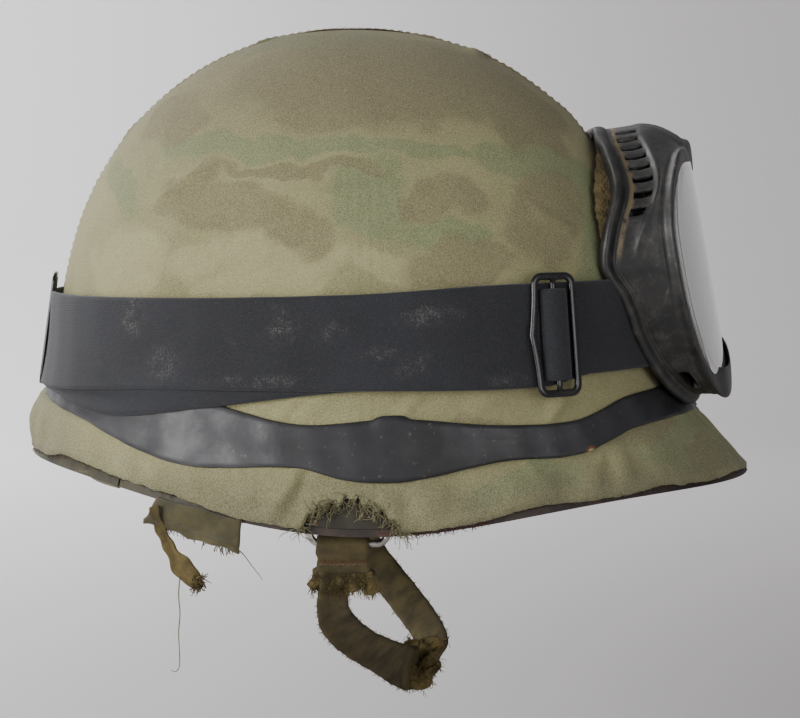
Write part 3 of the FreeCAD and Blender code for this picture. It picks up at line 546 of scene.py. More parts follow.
def camouflage_colour(surface):
    """Faded woodland print: blotches with wandering edges, over-washed and dusty."""
    wander = surface.node("ShaderNodeTexNoise")
    wander.inputs["Scale"].default_value = 38.0
    wander.inputs["Detail"].default_value = 3.0
    surface.wire(surface.place, wander.inputs["Vector"])
    shift = surface.node("ShaderNodeVectorMath", operation="MULTIPLY_ADD")
    surface.wire(wander.outputs["Color"], shift.inputs[0])
    shift.inputs[1].default_value = (0.030, 0.030, 0.030)
    shift.inputs[2].default_value = (-0.015, -0.015, -0.015)
    moved = surface.node("ShaderNodeVectorMath", operation="ADD")
    surface.wire(surface.place, moved.inputs[0])
    surface.wire(shift.outputs[0], moved.inputs[1])
    place = surface.split(moved.outputs[0])

    colour = surface.mix(surface.cloud(22.0, 3.0, 0.35, 0.65), CLOTH_COLOURS["base"], srgb(134, 129, 86))
    right = surface.ramp(place[1], 0.004, -0.004)
    left = surface.maths("SUBTRACT", 1.0, right)
    # the print of the left side isn't in the photograph, so its blotches are noise
    for name, scale, tall, shift, low, strength in (
        ("green", 17.0, 1.7, (0, 0, 0), 0.50, 0.85), ("brown", 15.0, 1.6, (3, 1, 2), 0.54, 0.8),
    ):
        vector = surface.stretch(moved.outputs[0], (1, 1, tall), shift)
        blotches = surface.cloud(scale, 2.0, low, low + 0.06, vector=vector)
        colour = surface.tint(colour, surface.times(blotches, left), strength, CLOTH_COLOURS[name])
    for name, blotches in CAMOUFLAGE.items():
        cover = None
        for centre, radii, lean in blotches:
            mask = patch(surface, place, centre, radii, lean)
            cover = mask if cover is None else surface.maths("MAXIMUM", cover, mask)
        colour = surface.tint(colour, surface.times(cover, right), 0.8, CLOTH_COLOURS[name])
    return colour


def make_cloth_material():
    surface = Surface("camouflage_cloth")
    colour = camouflage_colour(surface)
    mottle = surface.two_tone(60.0, srgb(118, 114, 77), srgb(156, 152, 108), rough=0.65)
    colour = surface.mix(0.22, colour, mottle)
    x, _, z = surface.split(surface.place)
    # painted shade: the cloth is darker towards the hem, broken up with noise
    hem_painted_shade = surface.times(surface.ramp(z, 0.004, -0.022), surface.cloud(45.0, 5.0, 0.25, 0.6, 0.35, 0.75))
    colour = surface.mix(hem_painted_shade, colour, srgb(84, 82, 56))
    # painted shadow at the nape, on the lower rear of the cover below the goggle strap
    nape = surface.times(surface.ramp(x, -0.100, -0.114), surface.ramp(z, 0.022, 0.004, 0.0, 0.5))
    colour = surface.mix(nape, colour, srgb(78, 75, 58))
    crown = surface.times(surface.ramp(z, 0.094, 0.138), surface.cloud(30.0, 4.0, 0.2, 0.7, 0.25, 0.55))
    colour = surface.mix(crown, colour, srgb(88, 76, 50))
    speckle = surface.cloud(2600.0, 2.0, 0.35, 0.65)
    colour = surface.mix(0.3, colour, surface.mix(speckle, (0.06, 0.057, 0.035), (0.48, 0.46, 0.32)))
    height = surface.maths("ADD", surface.weave(0.0068), surface.grain(900.0, 3.0))
    return surface.finish(colour, 0.92, height, 0.00026, 0.7, Sheen_Weight=0.04)


def make_plain_cloth(name, first, second, pitch=0.0055, depth=0.00025, sheen=0.2):
    """Worn cloth or thread in two tones; pitch is the weave's, in units of 100 mm."""
    surface = Surface(name)
    colour = surface.two_tone(120.0, first, second, rough=0.6)
    threads = surface.weave(pitch)
    shade = surface.ramp(threads, -0.5, 0.5, 0.0, 0.45)
    colour = surface.mix(shade, surface.mix(1.0, colour, (0.45, 0.45, 0.45), "MULTIPLY"), colour)
    height = surface.maths("ADD", threads, surface.grain(1400.0, 2.0))
    return surface.finish(colour, 0.93, height, depth, 0.8, Sheen_Weight=sheen)


# Dust on the strap's right side: centre (x, z), radii, lean in degrees.
STRAP_DUST = [
    ((-70, 27), (5, 6), -50), ((-82, 44), (4, 6), 0), ((-27, 42), (6, 5), 0), ((25, 46), (10, 3.5), 5),
    ((19, 28), (6, 3), 20), ((8, 32), (5, 2), 10), ((-36, 22), (14, 2), 0), ((-8, 40), (4, 3), 0),
    ((54, 22), (6, 2), 0),
]


def make_elastic_material():
    surface = Surface("elastic_strap")
    place = surface.split(surface.place)
    dust = surface.cloud(70.0, 6.0, 0.56, 0.85, rough=0.7)
    for centre, radii, lean in STRAP_DUST:
        dust = surface.maths("MAXIMUM", dust, patch(surface, place, centre, radii, lean, 0.8))
    dust = surface.times(dust, surface.cloud(1500.0, 3.0, 0.44, 0.60, rough=0.7))
    dust = surface.times(dust, surface.cloud(230.0, 6.0, 0.40, 0.72, rough=0.75))
    colour = surface.two_tone(30.0, srgb(23, 24, 28), srgb(32, 33, 38), 3.0)
    colour = surface.tint(colour, dust, 0.62, srgb(116, 113, 106))
    colour = surface.mix(surface.cloud(2600.0, 2.0, 0.45, 0.75, 0.0, 0.22), colour, srgb(92, 92, 96))
    u, v, _ = surface.split(surface.uv())
    ribs = surface.maths("SINE", surface.times(v, 2 * pi / 0.0065))
    picks = surface.maths("SINE", surface.times(u, 2 * pi / 0.0075))
    height = surface.maths("ADD", surface.times(ribs, 0.3), surface.times(picks, 0.1))
    height = surface.maths("ADD", height, surface.grain(2600.0, 2.0))
    return surface.finish(colour, 0.8, height, 0.00016, 0.6, Sheen_Weight=0.12, Sheen_Roughness=0.5)


def make_band_material():
    """Inner-tube rubber with a painted sheen behind, and one rusty spot at the right front."""
    surface = Surface("band_rubber")
    x, y, z = surface.split(surface.place)
    lengthwise = surface.stretch(surface.place, (1, 1, 3.5))
    streak = surface.cloud(26.0, 6.0, 0.25, 0.75, 0.25, 0.85, 0.65, lengthwise)
    # painted sheen: the rubber is lighter and streaked towards the rear of the band
    painted_sheen = surface.times(surface.ramp(x, 0.02, -0.07), streak)
    colour = surface.two_tone(55.0, srgb(30, 30, 32), srgb(42, 42, 45))
    colour = surface.tint(colour, painted_sheen, 0.6, srgb(92, 91, 93))
    colour = surface.tint(colour, surface.cloud(300.0, 5.0, 0.60, 0.72, rough=0.7), 0.25, srgb(140, 136, 128))
    right = surface.ramp(y, 0.0, -0.02)
    for radius, shade in ((2.3, srgb(96, 62, 36)), (1.3, srgb(190, 172, 130))):
        spot = patch(surface, (x, y, z), (85, -5.5), (radius, radius), 0, 0.3)
        colour = surface.tint(colour, spot, right, shade)
    rough = surface.cloud(90.0, 4.0, 0.3, 0.7, 0.42, 0.62)
    return surface.finish(colour, rough, surface.grain(420.0, 5.0, 0.7), 0.00025, 0.45)


def make_goggle_rubber():
    """Dusty rubber. The UV map gives the row of the frame's section and the height on its outline."""
    surface = Surface("goggle_rubber")
    row, up, _ = surface.split(surface.uv())
    groove = surface.times(surface.ramp(row, 0.078, 0.09), surface.ramp(row, 0.112, 0.102))
    groove = surface.times(groove, surface.ramp(up, 0.02, 0.08))
    groove = surface.times(groove, surface.cloud(260.0, 5.0, 0.3, 0.5, rough=0.7))
    edge = surface.ramp(surface.node("ShaderNodeNewGeometry").outputs["Pointiness"], 0.53, 0.62)
    film = surface.cloud(160.0, 8.0, 0.44, 0.8, rough=0.8)
    streaks = surface.stretch(surface.place, (2.5, 1, 0.5))
    scratch = surface.cloud(150.0, 5.0, 0.62, 0.72, rough=0.75, vector=streaks)
    colour = surface.two_tone(45.0, srgb(26, 26, 26), srgb(42, 41, 40))
    colour = surface.tint(colour, groove, 0.7, srgb(122, 106, 76))
    colour = surface.tint(colour, edge, 0.4, srgb(98, 93, 87))
    colour = surface.tint(colour, film, 0.34, srgb(112, 107, 99))
    colour = surface.tint(colour, scratch, 0.35, srgb(138, 132, 122))
    rough = surface.cloud(70.0, 4.0, 0.3, 0.7, 0.42, 0.62)
    return surface.finish(colour, rough, surface.grain(700.0, 4.0, 0.7), 0.00012, 0.5)


def make_lens_material():
    surface = Surface("goggle_lens")
    surface.shader.inputs["Transmission Weight"].default_value = 0.86
    surface.shader.inputs["IOR"].default_value = 1.3
    haze = surface.cloud(60.0, 6.0, 0.3, 0.8, 0.02, 0.09, 0.7)
    return surface.finish((0.95, 0.96, 0.93), haze, surface.grain(40.0, 2.0), 0.0001, 0.1)


def make_foam_material(name, first, second):
    surface = Surface(name)
    colour = surface.two_tone(180.0, first, second, rough=0.7)
    return surface.finish(colour, 0.95, surface.cells(900.0), 0.0006, 0.8)


def make_enamel():
    surface = Surface("slider_enamel")
    chips = surface.cloud(500.0, 4.0, 0.68, 0.72, rough=0.7)
    colour = surface.mix(chips, srgb(16, 16, 18), srgb(70, 66, 60))
    rough = surface.cloud(120.0, 4.0, 0.3, 0.7, 0.16, 0.34)
    return surface.finish(colour, rough, surface.grain(300.0), 0.00004, 0.3, Coat_Weight=0.3)


def make_painted_steel(name, paint, other, rust, bare=0.0):
    """Matt paint; rust and bare are shares of rusty spots and of chips down to the metal."""
    surface = Surface(name)
    colour = surface.two_tone(80.0, paint, other)
    rusty = surface.cloud(210.0, 6.0, 0.66 - rust, 0.72 - rust, rough=0.7)
    colour = surface.tint(colour, rusty, 0.85, srgb(88, 52, 32))
    chips = surface.cloud(420.0, 3.0, 0.70 - bare, 0.72 - bare, rough=0.6)
    colour = surface.mix(chips, colour, srgb(176, 168, 158))
    rough = surface.cloud(150.0, 4.0, 0.3, 0.7, 0.42, 0.72)
    metal = surface.times(chips, 0.8)
    return surface.finish(colour, rough, surface.grain(1100.0, 4.0, 0.7), 0.00015, 0.5, Metallic=metal)


def make_edging_material():
    """Olive behind, where the paint is whole; dark and rusty towards the brim."""
    surface = Surface("rim_steel")
    x, _, _ = surface.split(surface.place)
    lengthwise = surface.stretch(surface.place, (1, 1, 5))
    scratch = surface.cloud(60.0, 6.0, 0.56, 0.7, rough=0.75, vector=lengthwise)
    olive = surface.two_tone(90.0, srgb(48, 45, 32), srgb(70, 65, 48))
    olive = surface.tint(olive, scratch, 0.45, srgb(128, 120, 98))
    dark = surface.two_tone(120.0, srgb(34, 28, 25), srgb(58, 46, 40))
    dark = surface.tint(dark, surface.cloud(110.0, 6.0, 0.54, 0.64, rough=0.7), 0.7, srgb(76, 50, 36))
    colour = surface.mix(surface.ramp(x, -0.052, -0.03), olive, dark)
    chips = surface.cloud(190.0, 4.0, 0.68, 0.70, rough=0.6)
    colour = surface.tint(colour, chips, surface.ramp(x, 0.055, 0.075), srgb(196, 186, 168))
    return surface.finish(colour, 0.62, surface.grain(1100.0, 4.0, 0.7), 0.0002, 0.6)


def make_wire_material():
    surface = Surface("bail_wire")
    tarnish = surface.cloud(260.0, 5.0, 0.5, 0.68, rough=0.7)
    colour = surface.mix(tarnish, srgb(178, 174, 168), srgb(92, 80, 66))
    rough = surface.cloud(200.0, 4.0, 0.3, 0.7, 0.22, 0.5)
    metal = surface.ramp(tarnish, 0.0, 1.0, 1.0, 0.55)
    return surface.finish(colour, rough, surface.grain(900.0), 0.00005, 0.4, Metallic=metal)


def make_liner_material():
    surface = Surface("liner_plastic")
    colour = surface.two_tone(35.0, srgb(62, 64, 44), srgb(80, 80, 56))
    return surface.finish(colour, 0.62, surface.grain(600.0, 5.0, 0.7), 0.0003, 0.5)


def make_leather():
    surface = Surface("sweatband_leather")
    colour = surface.two_tone(60.0, srgb(78, 46, 26), srgb(122, 82, 48))
    return surface.finish(colour, 0.5, surface.cells(700.0), 0.0004, 0.6)


MATERIALS = {
    "cloth": make_cloth_material(),
    "elastic": make_elastic_material(),
    "band": make_band_material(),
    "goggle": make_goggle_rubber(),
    "lens": make_lens_material(),
    "foam": make_foam_material("goggle_foam", srgb(66, 57, 36), srgb(100, 87, 57)),
    "vent": make_foam_material("vent_foam", srgb(30, 27, 22), srgb(52, 45, 34)),
    "enamel": make_enamel(),
    "steel": make_painted_steel("painted_steel", srgb(40, 37, 29), srgb(56, 52, 40), 0.08),
    "lug": make_painted_steel("lug_steel", srgb(50, 48, 38), srgb(64, 60, 46), 0.1),
    "brass": make_painted_steel("clip_metal", srgb(96, 82, 48), srgb(72, 62, 40), 0.02, 0.04),
    "edging": make_edging_material(),
    "wire": make_wire_material(),
    "liner": make_liner_material(),
    "leather": make_leather(),
}
# Plain cloths, webbings and threads: two tones, then what differs from the usual weave.
for key, name, first, second, options in (
    ("torn", "torn_cloth", (80, 74, 46), (112, 103, 68), {}),
    ("thread", "cloth_thread", (172, 167, 128), (116, 110, 78), {"pitch": 0.002, "sheen": 0.0}),
    ("rust_thread", "rust_thread", (96, 58, 40), (70, 44, 32), {"pitch": 0.002}),
    ("tuck", "tuck_cloth", (96, 98, 66), (124, 118, 84), {}),
    ("webbing", "suspension_webbing", (116, 112, 82), (142, 136, 102), {"pitch": 0.011}),
    ("strap", "chinstrap_webbing", (70, 61, 37), (104, 92, 56),
     {"pitch": 0.008, "depth": 0.0002, "sheen": 0.0}),
    ("frayed", "frayed_webbing", (82, 71, 40), (130, 113, 68), {"pitch": 0.009, "sheen": 0.0}),
    ("tack", "tack_thread", (128, 88, 42), (100, 74, 40), {"pitch": 0.002}),
):
    MATERIALS[key] = make_plain_cloth(name, srgb(*first), srgb(*second), **options)


# ---------------------------------------------------------------- steel, liner and metal fittings


DRESSED = {
    "steel": ("steel_shell",), "edging": ("rim_edging",), "liner": ("liner_shell",),
    "lug": ("bail_lug_right", "bail_lug_left", "liner_rivets", "suspension_washers"),
    "wire": ("bail_right", "bail_left"), "brass": ("sweatband_clips", "sweatband_buckle"),
}


def dress_cad_nodes():
    """Gives the CAD nodes that stay visible their materials, on all their slots."""
    for material, names in DRESSED.items():
        for name in names:
            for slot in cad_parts[name].material_slots:
                slot.material = MATERIALS[material]


# ---------------------------------------------------------------- cloth cover


def hem_height(theta):
    return rim_height(theta) + 2.0 + 5.0 * np.clip(-np.cos(theta), 0, None) ** 6


def torn_hem(theta):
    """The hem as it is: slightly uneven, and torn open at the right side."""
    angle = angle_of(theta)
    spots = np.stack([np.cos(theta), np.sin(theta), 0 * theta], -1)
    uneven = 0.5 * wave_noise(spots, 0.05) + 0.35 * wave_noise(spots, 0.013, 7.0)
    tear = window(angle, -98.6, -95.5, -84.5, -80.5)
    ragged = 1.0 + 0.16 * np.sin(angle * 2.9) + 0.22 * wave_noise(spots, 0.012, 3.0)
    peak = 0.75 + 0.5 * bump(angle, -89.5, 3.5)
    lift = 9.5 * tear * ragged * peak
    # the hem reaches over the edging, but for the right rear and a stretch beside the brim
    rearward = np.clip(-np.cos(theta), 0, None)
    over = 1.8 * step(np.cos(theta), -0.52, -0.32) + 5.8 * rearward**6 * step(np.abs(angle), 146, 153)
    bare = 2.0 * bump(angle, -58, 7) + 1.0 * bump(angle, -36, 5) + 0.8 * bump(angle, -16, 6)
    return hem_height(theta) + uneven + lift - over + bare


# Creases in the cloth above the strap, right side: from and to (x, z), height, width.
WRINKLES = [
    ((-69, 73), (-46, 80.5), 2.0, 1.4), ((-63, 57.5), (-45, 63), 1.9, 1.4), ((-80, 82), (-48, 100), 1.8, 2.4),
    ((-50, 84), (10, 91), 1.1, 2.4), ((-22, 60), (0, 62.5), 1.4, 1.5), ((-72, 96), (-48, 91), 1.1, 1.8),
    ((20, 76), (48, 68), 1.0, 2.4), ((58, 88), (82, 70), 1.2, 2.6),
]
# Pleats below the band: angle, slope. Creases between strap and band: angle, width, height.
PLEATS = [(-113, -0.5), (-109.8, -0.3), (-106.8, 0.0), (-104, 0.35), (-76, 0.4), (-58, -0.3), (-45, 0.2)]
STRAP_CREASES = [(-101.5, 1.2, 1.6), (-97, 2.4, 0.9), (-79.5, 1.1, 1.3), (-50.5, 1.4, 1.8), (-66, 3, 0.8)]


def cover_offset(theta, z, points):
    """How far the cloth stands off its even position, in millimetres."""
    angle = angle_of(theta)
    along = points[..., 0]
    lift = 0.55 * wave_noise(points, 34.0, 1.0) + 0.22 * wave_noise(points, 11.0, 5.0)
    # puckers along the crown seam
    from_seam = points[..., 1] - SEAM_Y
    pull = np.exp(-np.abs(from_seam) / 11.0) * step(z, 60, 100)
    rays = np.sin(along / 3.6 + 2.2 * np.sin(along / 17.0)) * (0.6 + 0.4 * np.sin(along / 9.0))
    lift = lift + pull * 0.5 * rays
    lift = lift + 1.6 * bump(along, 45, 3.5) * bump(from_seam, -10.0, 8.0) * step(z, 100, 120)
    lift = lift - 0.9 * bump(along, 50.5, 2.0) * bump(from_seam, -11.0, 6.0) * step(z, 100, 120)
    for (x0, z0), (x1, z1), tall, width in WRINKLES:
        length = np.hypot(x1 - x0, z1 - z0)
        run = ((along - x0) * (x1 - x0) + (z - z0) * (z1 - z0)) / length
        off = ((z - z0) * (x1 - x0) - (along - x0) * (z1 - z0)) / length
        off = off + 0.3 * width * np.sin(run / 5.0)
        share = window(run, 0, 0.35 * length, 0.65 * length, length) * (from_seam < -25)
        lift = lift + tall * share * (bump(off, 0, width) - 0.6 * bump(off, -1.9 * width, 1.3 * width))
    # the cloth below the rubber band is looser, with short upright creases
    below = 1 - step(z, BAND_FOOT(theta) - 9, BAND_FOOT(theta) - 1)
    hem_share = step(z, rim_height(theta) - 1, rim_height(theta) + 7)
    crease = np.sin(np.radians(angle) * 34 + 2.6 * np.sin(np.radians(angle) * 9 + 0.6))
    creased = np.abs(crease) ** 0.7 * np.sign(crease)
    lift = lift + below * hem_share * (0.75 + 0.7 * creased)
    lift = lift + below * hem_share * 1.6 * bump(angle, -62, 7)
    fold_at = -99.5 + 0.28 * (z + 12)
    lift = lift + 2.0 * bump(angle, fold_at, 1.5) * (1 - step(z, -10, -5)) * step(z, -29, -24)
    lift = lift - 1.1 * bump(angle, fold_at + 2.6, 1.4) * (1 - step(z, -10, -6))
    for place, slope in PLEATS:
        pleat = bump(angle, place + slope * (z + 9), 0.75) * step(z, -21, -9)
        lift = lift + 0.9 * pleat * (1 - step(z, BAND_FOOT(theta) - 1, BAND_FOOT(theta) + 1))
    # bulge over the nape, where the cloth curls in above the edging
    nape = step(np.abs(angle), 142, 166)
    lift = lift + nape * (1 - step(z, 8, 24)) * 3.4 * step(z, -13, -2)
    # creases that run down from the strap to the band
    between = window(z, BAND_TOP(theta) - 1, BAND_TOP(theta) + 2, 16, 21)
    for place, width, tall in STRAP_CREASES:
        lift = lift + between * tall * bump(angle, place + 0.5 * (z - 12), width)
    # pressed in under the band and the strap
    foot, top = BAND_FOOT(theta), BAND_TOP(theta)
    under_band = window(z, foot - 1.5, foot + 1.5, top - 1.5, top + 1.5)
    lift = lift * (1 - 0.95 * under_band) - 0.15 * under_band
    foot, top = STRAP_FOOT(theta), STRAP_TOP(theta)
    under_strap = window(z, foot - 2, foot + 2, top - 2, top + 2)
    lift = lift * (1 - 0.8 * under_strap)
    over_edging = 1 - step(z, hem_height(theta) + 0.5, hem_height(theta) + 3.5)
    return np.maximum(lift, 0.85 * over_edging)


def make_cover():
    around, up = 620, 150
    theta = np.linspace(-pi, pi, around, endpoint=False)[:, None]
    share = np.linspace(0, 1, up)[None, :]
    foot = torn_hem(theta)
    crown = EQUATOR_Z + CROWN_RISE + CLOTH_OFFSET + CLOTH_THICKNESS
    z = foot + (crown - foot) * np.sin(pi / 2 * share**0.93)
    z[:, -1] = crown - 0.02
    theta_full = theta * np.ones_like(z)
    even = dome(theta_full, z, CLOTH_MIDDLE)
    normals = grid_normals(even, wrap=True)
    lift = np.maximum(cover_offset(theta_full, z, even), LOWEST_LIFT)
    outer, inner = (even + normals * (lift + half * CLOTH_THICKNESS)[..., None] for half in (0.5, -0.5))
    uv = np.stack([theta_full * MEAN_RADIUS, MERIDIAN * share * np.ones_like(z)], -1)
    for side, sign in (("right", -1), ("left", 1)):
        make_cover_panel(side, sign, outer, inner, uv)


def make_cover_panel(side, sign, outer, inner, uv):
    """The part of the cover on one side of the crown seam, closed along its edges."""
    around, up = outer.shape[:2]
    index = np.arange(around * up).reshape(around, up)
    total = around * up
    middle_y = outer[..., 1]
    keep = []
    for i in range(around):
        k = (i + 1) % around
        from_seam = (middle_y[i, :-1] + middle_y[k, 1:]) / 2 - SEAM_Y
        for j in np.nonzero(from_seam * sign > 0)[0]:
            keep.append((i, k, j))
    faces = []
    edges = {}
    for i, k, j in keep:
        quad = (index[i, j], index[k, j], index[k, j + 1], index[i, j + 1])
        faces.append(quad)
        faces.append(tuple(total + v for v in reversed(quad)))
        for a, b in zip(quad, quad[1:] + quad[:1]):
            if (b, a) in edges:
                del edges[(b, a)]
            else:
                edges[(a, b)] = True
    faces += [(b, a, a + total, b + total) for a, b in edges]
    points = np.concatenate([outer.reshape(-1, 3), inner.reshape(-1, 3)])
    used = np.unique(np.concatenate([np.array(face) for face in faces]))
    renumber = np.full(2 * total, -1)
    renumber[used] = np.arange(len(used))
    faces = [tuple(int(renumber[v]) for v in face) for face in faces]
    flat_uv = np.concatenate([uv.reshape(-1, 2)] * 2)[used]
    piece = new_object(f"cover_cloth_{side}", points[used], faces, MATERIALS["cloth"], flat_uv)
    stand_in(piece, "helmet", f"cover_{side}_panel")


def surface_offset(theta, z):
    """Offset of the cloth's outer face, folds included, at these angles and heights."""
    even = dome(theta, z, CLOTH_MIDDLE)
    return CLOTH_MIDDLE + np.maximum(cover_offset(theta, z, even), LOWEST_LIFT) + CLOTH_THICKNESS / 2


SEAM_POINTS = 120  # on each of the seam's three stretches: front, crown and rear


def seam_path(y):
    """Angles and heights along the line across the crown where the dome's y is given."""
    climb = np.linspace(0, 1, SEAM_POINTS) ** 0.8
    theta_parts, z_parts = [], []
    for rear in (False, True):
        hem = float(hem_height(np.array(pi if rear else 0.0))) + 1.0
        z = hem + (96.0 - hem) * climb
        theta = np.full(SEAM_POINTS, pi if rear else 0.0)
        for _ in range(8):
            radius = dome_radius(theta, z, CLOTH_OUTSIDE)
            lean = np.arcsin(y / radius)
            theta = pi - lean if rear else lean
        theta_parts.append(theta)
        z_parts.append(z)
    front_x = dome(theta_parts[0][-1], z_parts[0][-1], CLOTH_OUTSIDE)[0]
    rear_x = dome(theta_parts[1][-1], z_parts[1][-1], CLOTH_OUTSIDE)[0]
    x = np.linspace(front_x, rear_x, SEAM_POINTS + 2)[1:-1]
    theta = np.arctan2(y, x - CENTRE_X)
    spread = np.hypot(y, x - CENTRE_X) / (plan_radius(theta) + CLOTH_OUTSIDE)
    z = EQUATOR_Z + (CROWN_RISE + CLOTH_OUTSIDE) * (1 - spread**DOME_POWER) ** (1 / DOME_POWER)
    theta_parts.insert(1, theta)
    z_parts.insert(1, z)
    theta_all = np.concatenate([theta_parts[0], theta_parts[1], theta_parts[2][::-1]])
    z_all = np.concatenate([z_parts[0], z_parts[1], z_parts[2][::-1]])
    return theta_all, z_all


STITCH_SHIFT, STITCH_PITCH = 2.1, 3.4


def make_crown_seam():
    """Felled seam: a raised ridge over the crown with a row of stitches on each side."""
    across = np.array([-3.0, -2.6, -1.8, -0.6, 0.6, 1.8, 2.6, 3.0])
    height = np.array([0.05, 0.35, 0.5, 0.55, 0.5, 0.45, 0.3, 0.05])
    top, low = [], []
    for shift, rise in zip(across, height):
        theta, z = seam_path(SEAM_Y + shift)
        face = surface_offset(theta, z)
        along = dome(theta, z, face)[:, 0]
        pucker = 0.12 * np.sin(along / 3.1 + 0.6 * np.sin(along / 9.0))
        top.append(dome(theta, z, face + rise + pucker * (rise > 0.3)))
        low.append(dome(theta, z, face - 0.35))
    sections = np.stack(top + low[::-1], 1)
    length = np.arange(len(sections))[:, None] * 1.2 + 0 * sections[..., 0]
    uv = np.stack([length, np.concatenate([across, across[::-1]])[None, :] + 0 * length], -1)
    seam = tube("crown_seam", sections, MATERIALS["cloth"], uv=uv)
    stand_in(seam, "helmet", "cover_crown_seam")
    stitches = []
    for shift in (-STITCH_SHIFT, STITCH_SHIFT):
        theta, z = seam_path(SEAM_Y + shift)
        line = dome(theta, z, surface_offset(theta, z) + 0.5)
        run = run_lengths(line)
        for start in np.arange(2.0, run[-1] - 4, STITCH_PITCH):
            share = np.array([0.0, 0.6, 1.2, 1.8, 2.4]) + start
            spots = np.stack([np.interp(share, run, line[:, k]) for k in range(3)], -1)
            outward = unit(spots - np.array([CENTRE_X, 0, 20.0]))
            spots = spots + outward * np.array([-0.3, 0.15, 0.25, 0.15, -0.3])[:, None]
            stitches.append(spots)
    fibres("crown_seam_stitches", stitches, 0.2, "cloth", "helmet")


TUCKS = {"front": 0, "front_left": 52, "rear_left": 128, "nape": 180, "rear_right": 232, "front_right": 308}


def make_tucks():
    """Flaps of the cover that are folded round the rim and held between shell and liner."""

    def low(theta):
        return rim_height(theta) + 8.0

    def high(theta):
        return rim_height(theta) + 27.4 - 1.2 * np.cos(theta * 31)

    for name, angle in TUCKS.items():
        flap = dome_strip(
            f"tuck_{name}", low, high, -2.4, -1.6, angle - 17, angle + 17, 40, 12, MATERIALS["tuck"]
        )
        stand_in(flap, "helmet", f"cover_tuck_{name}")


TORN_FROM, TORN_SPAN = -123.4, 15.4  # degrees round the dome that the torn flap takes up
HANG_RADIUS = 125.0


def make_torn_cloth():
    """The torn flap with its folded hem, the torn strip, loose threads and the frayed tear."""
    random = np.random.default_rng(7)
    make_torn_flap()
    make_torn_strip()

    paths = []
    for _ in range(150):
        at = random.uniform(-114.3, -112.8)
        root = dome(radians(at), random.uniform(-49.5, -45.5), 4.4 + random.normal() * 0.8)
        way = (0.8 + random.normal() * 0.5, random.normal() * 0.4, 0.4 * random.normal())
        paths.append(fray(random, root, way, random.uniform(1.5, 4.5), 0.08, 0.6))
    for _ in range(34):
        at = random.uniform(-123.0, -108.6)
        root = dome(radians(at), -27.0 - 9.0 * (at + 123) / 15 - 1.2, 2.9)
        paths.append(fray(random, root, (0.3 * random.normal(), -0.2, -1), random.uniform(1.5, 3.5)))
    fibres("torn_cloth_fray", paths, 0.22, "frayed", "helmet")

    angles = np.radians([-116.2, -115.9, -115.2, -114.9, -114.4, -114.0, -113.9])
    long_thread = dome(angles, np.array([-46.0, -52, -58, -64, -69, -73, -75.5]), 4.6)
    hook = long_thread[-1] + [[-1.2, 0, -1.4], [-2.9, 0, -0.9]]
    angles = np.radians([-108.4, -106.8, -105.4, -104.0, -103.4])
    short_thread = dome(angles, np.array([-35.2, -37.8, -41.2, -44.5, -46.4]), 3.4)
    paths = [smooth_path(np.vstack([long_thread, hook]), 40), smooth_path(short_thread, 24)]
    fibres("torn_threads", paths, 0.26, "thread", "helmet")

    paths = []
    for _ in range(230):
        theta = radians(random.uniform(-99.0, -79.5))
        root_z = float(torn_hem(np.array(theta))) + random.uniform(-0.4, 0.8)
        root = dome(theta, root_z, CLOTH_OUTSIDE + random.uniform(0.0, 1.4))
        way = (random.normal() * 0.9, -0.35, -0.6 + 0.8 * random.normal())
        paths.append(fray(random, root, way, random.uniform(2.0, 7.5), 0.12, 0.5))
    fibres("tear_fray", paths, 0.19, "thread", "helmet")

    def hem_root(theta):
        return dome(theta, float(torn_hem(np.array(theta))) + 0.2, CLOTH_OUTSIDE)

    paths = []
    for _ in range(420):
        at = random.uniform(-179, 179)
        if -99 < at < -79:
            continue
        theta = radians(at)
        way = (cos(theta) * 0.4 + random.normal() * 0.5, sin(theta) * 0.4, -0.8)
        paths.append(fray(random, hem_root(theta), way, random.uniform(0.8, 2.4), 0.1, 0.4, 4))
    for _ in range(260):
        root = hem_root(radians(random.uniform(-84, -66)))
        way = (random.normal() * 0.8, -0.2, -0.7)
        paths.append(fray(random, root, way, random.uniform(1.2, 3.2), 0.1, 0.5, 5))
    fibres("hem_fray", paths, 0.13, "rust_thread", "helmet")


def make_torn_flap():
    angle = np.linspace(TORN_FROM, -108.0, 34)[:, None]
    down = np.linspace(0, 1, 16)[None, :]
    share = (angle - TORN_FROM) / TORN_SPAN
    top = rim_height(np.radians(angle)) + 0.1 - 0.3 * np.sin(share * 9)
    low = -29.0 - 5.6 * step(share, 0.0, 0.75) - 2.6 * step(share, 0.75, 1.0)
    low = low + 0.35 * np.sin(share * 23)
    z = top + (low - top) * down
    theta = np.radians(angle + 1.2 * down * (share - 0.5))
    curl = 1.5 + 0.8 * step(down, 0, 0.3) + 1.1 * down**2 + 0.7 * np.sin(share * 7 + 2.0 * down) * down
    hem_roll = 0.9 * bump(down, 0.88, 0.08)
    middle = dome(theta * np.ones_like(z), z, curl + hem_roll)
    normals = grid_normals(middle)
    thick = 0.5 + 0.45 * bump(down, 0.9, 0.09)[..., None]
    outer, inner = middle + normals * thick, middle - normals * thick
    flap = sheet_piece("torn_flap", outer, inner, MATERIALS["torn"])
    stand_in(flap, "helmet", "cover_torn_flap")


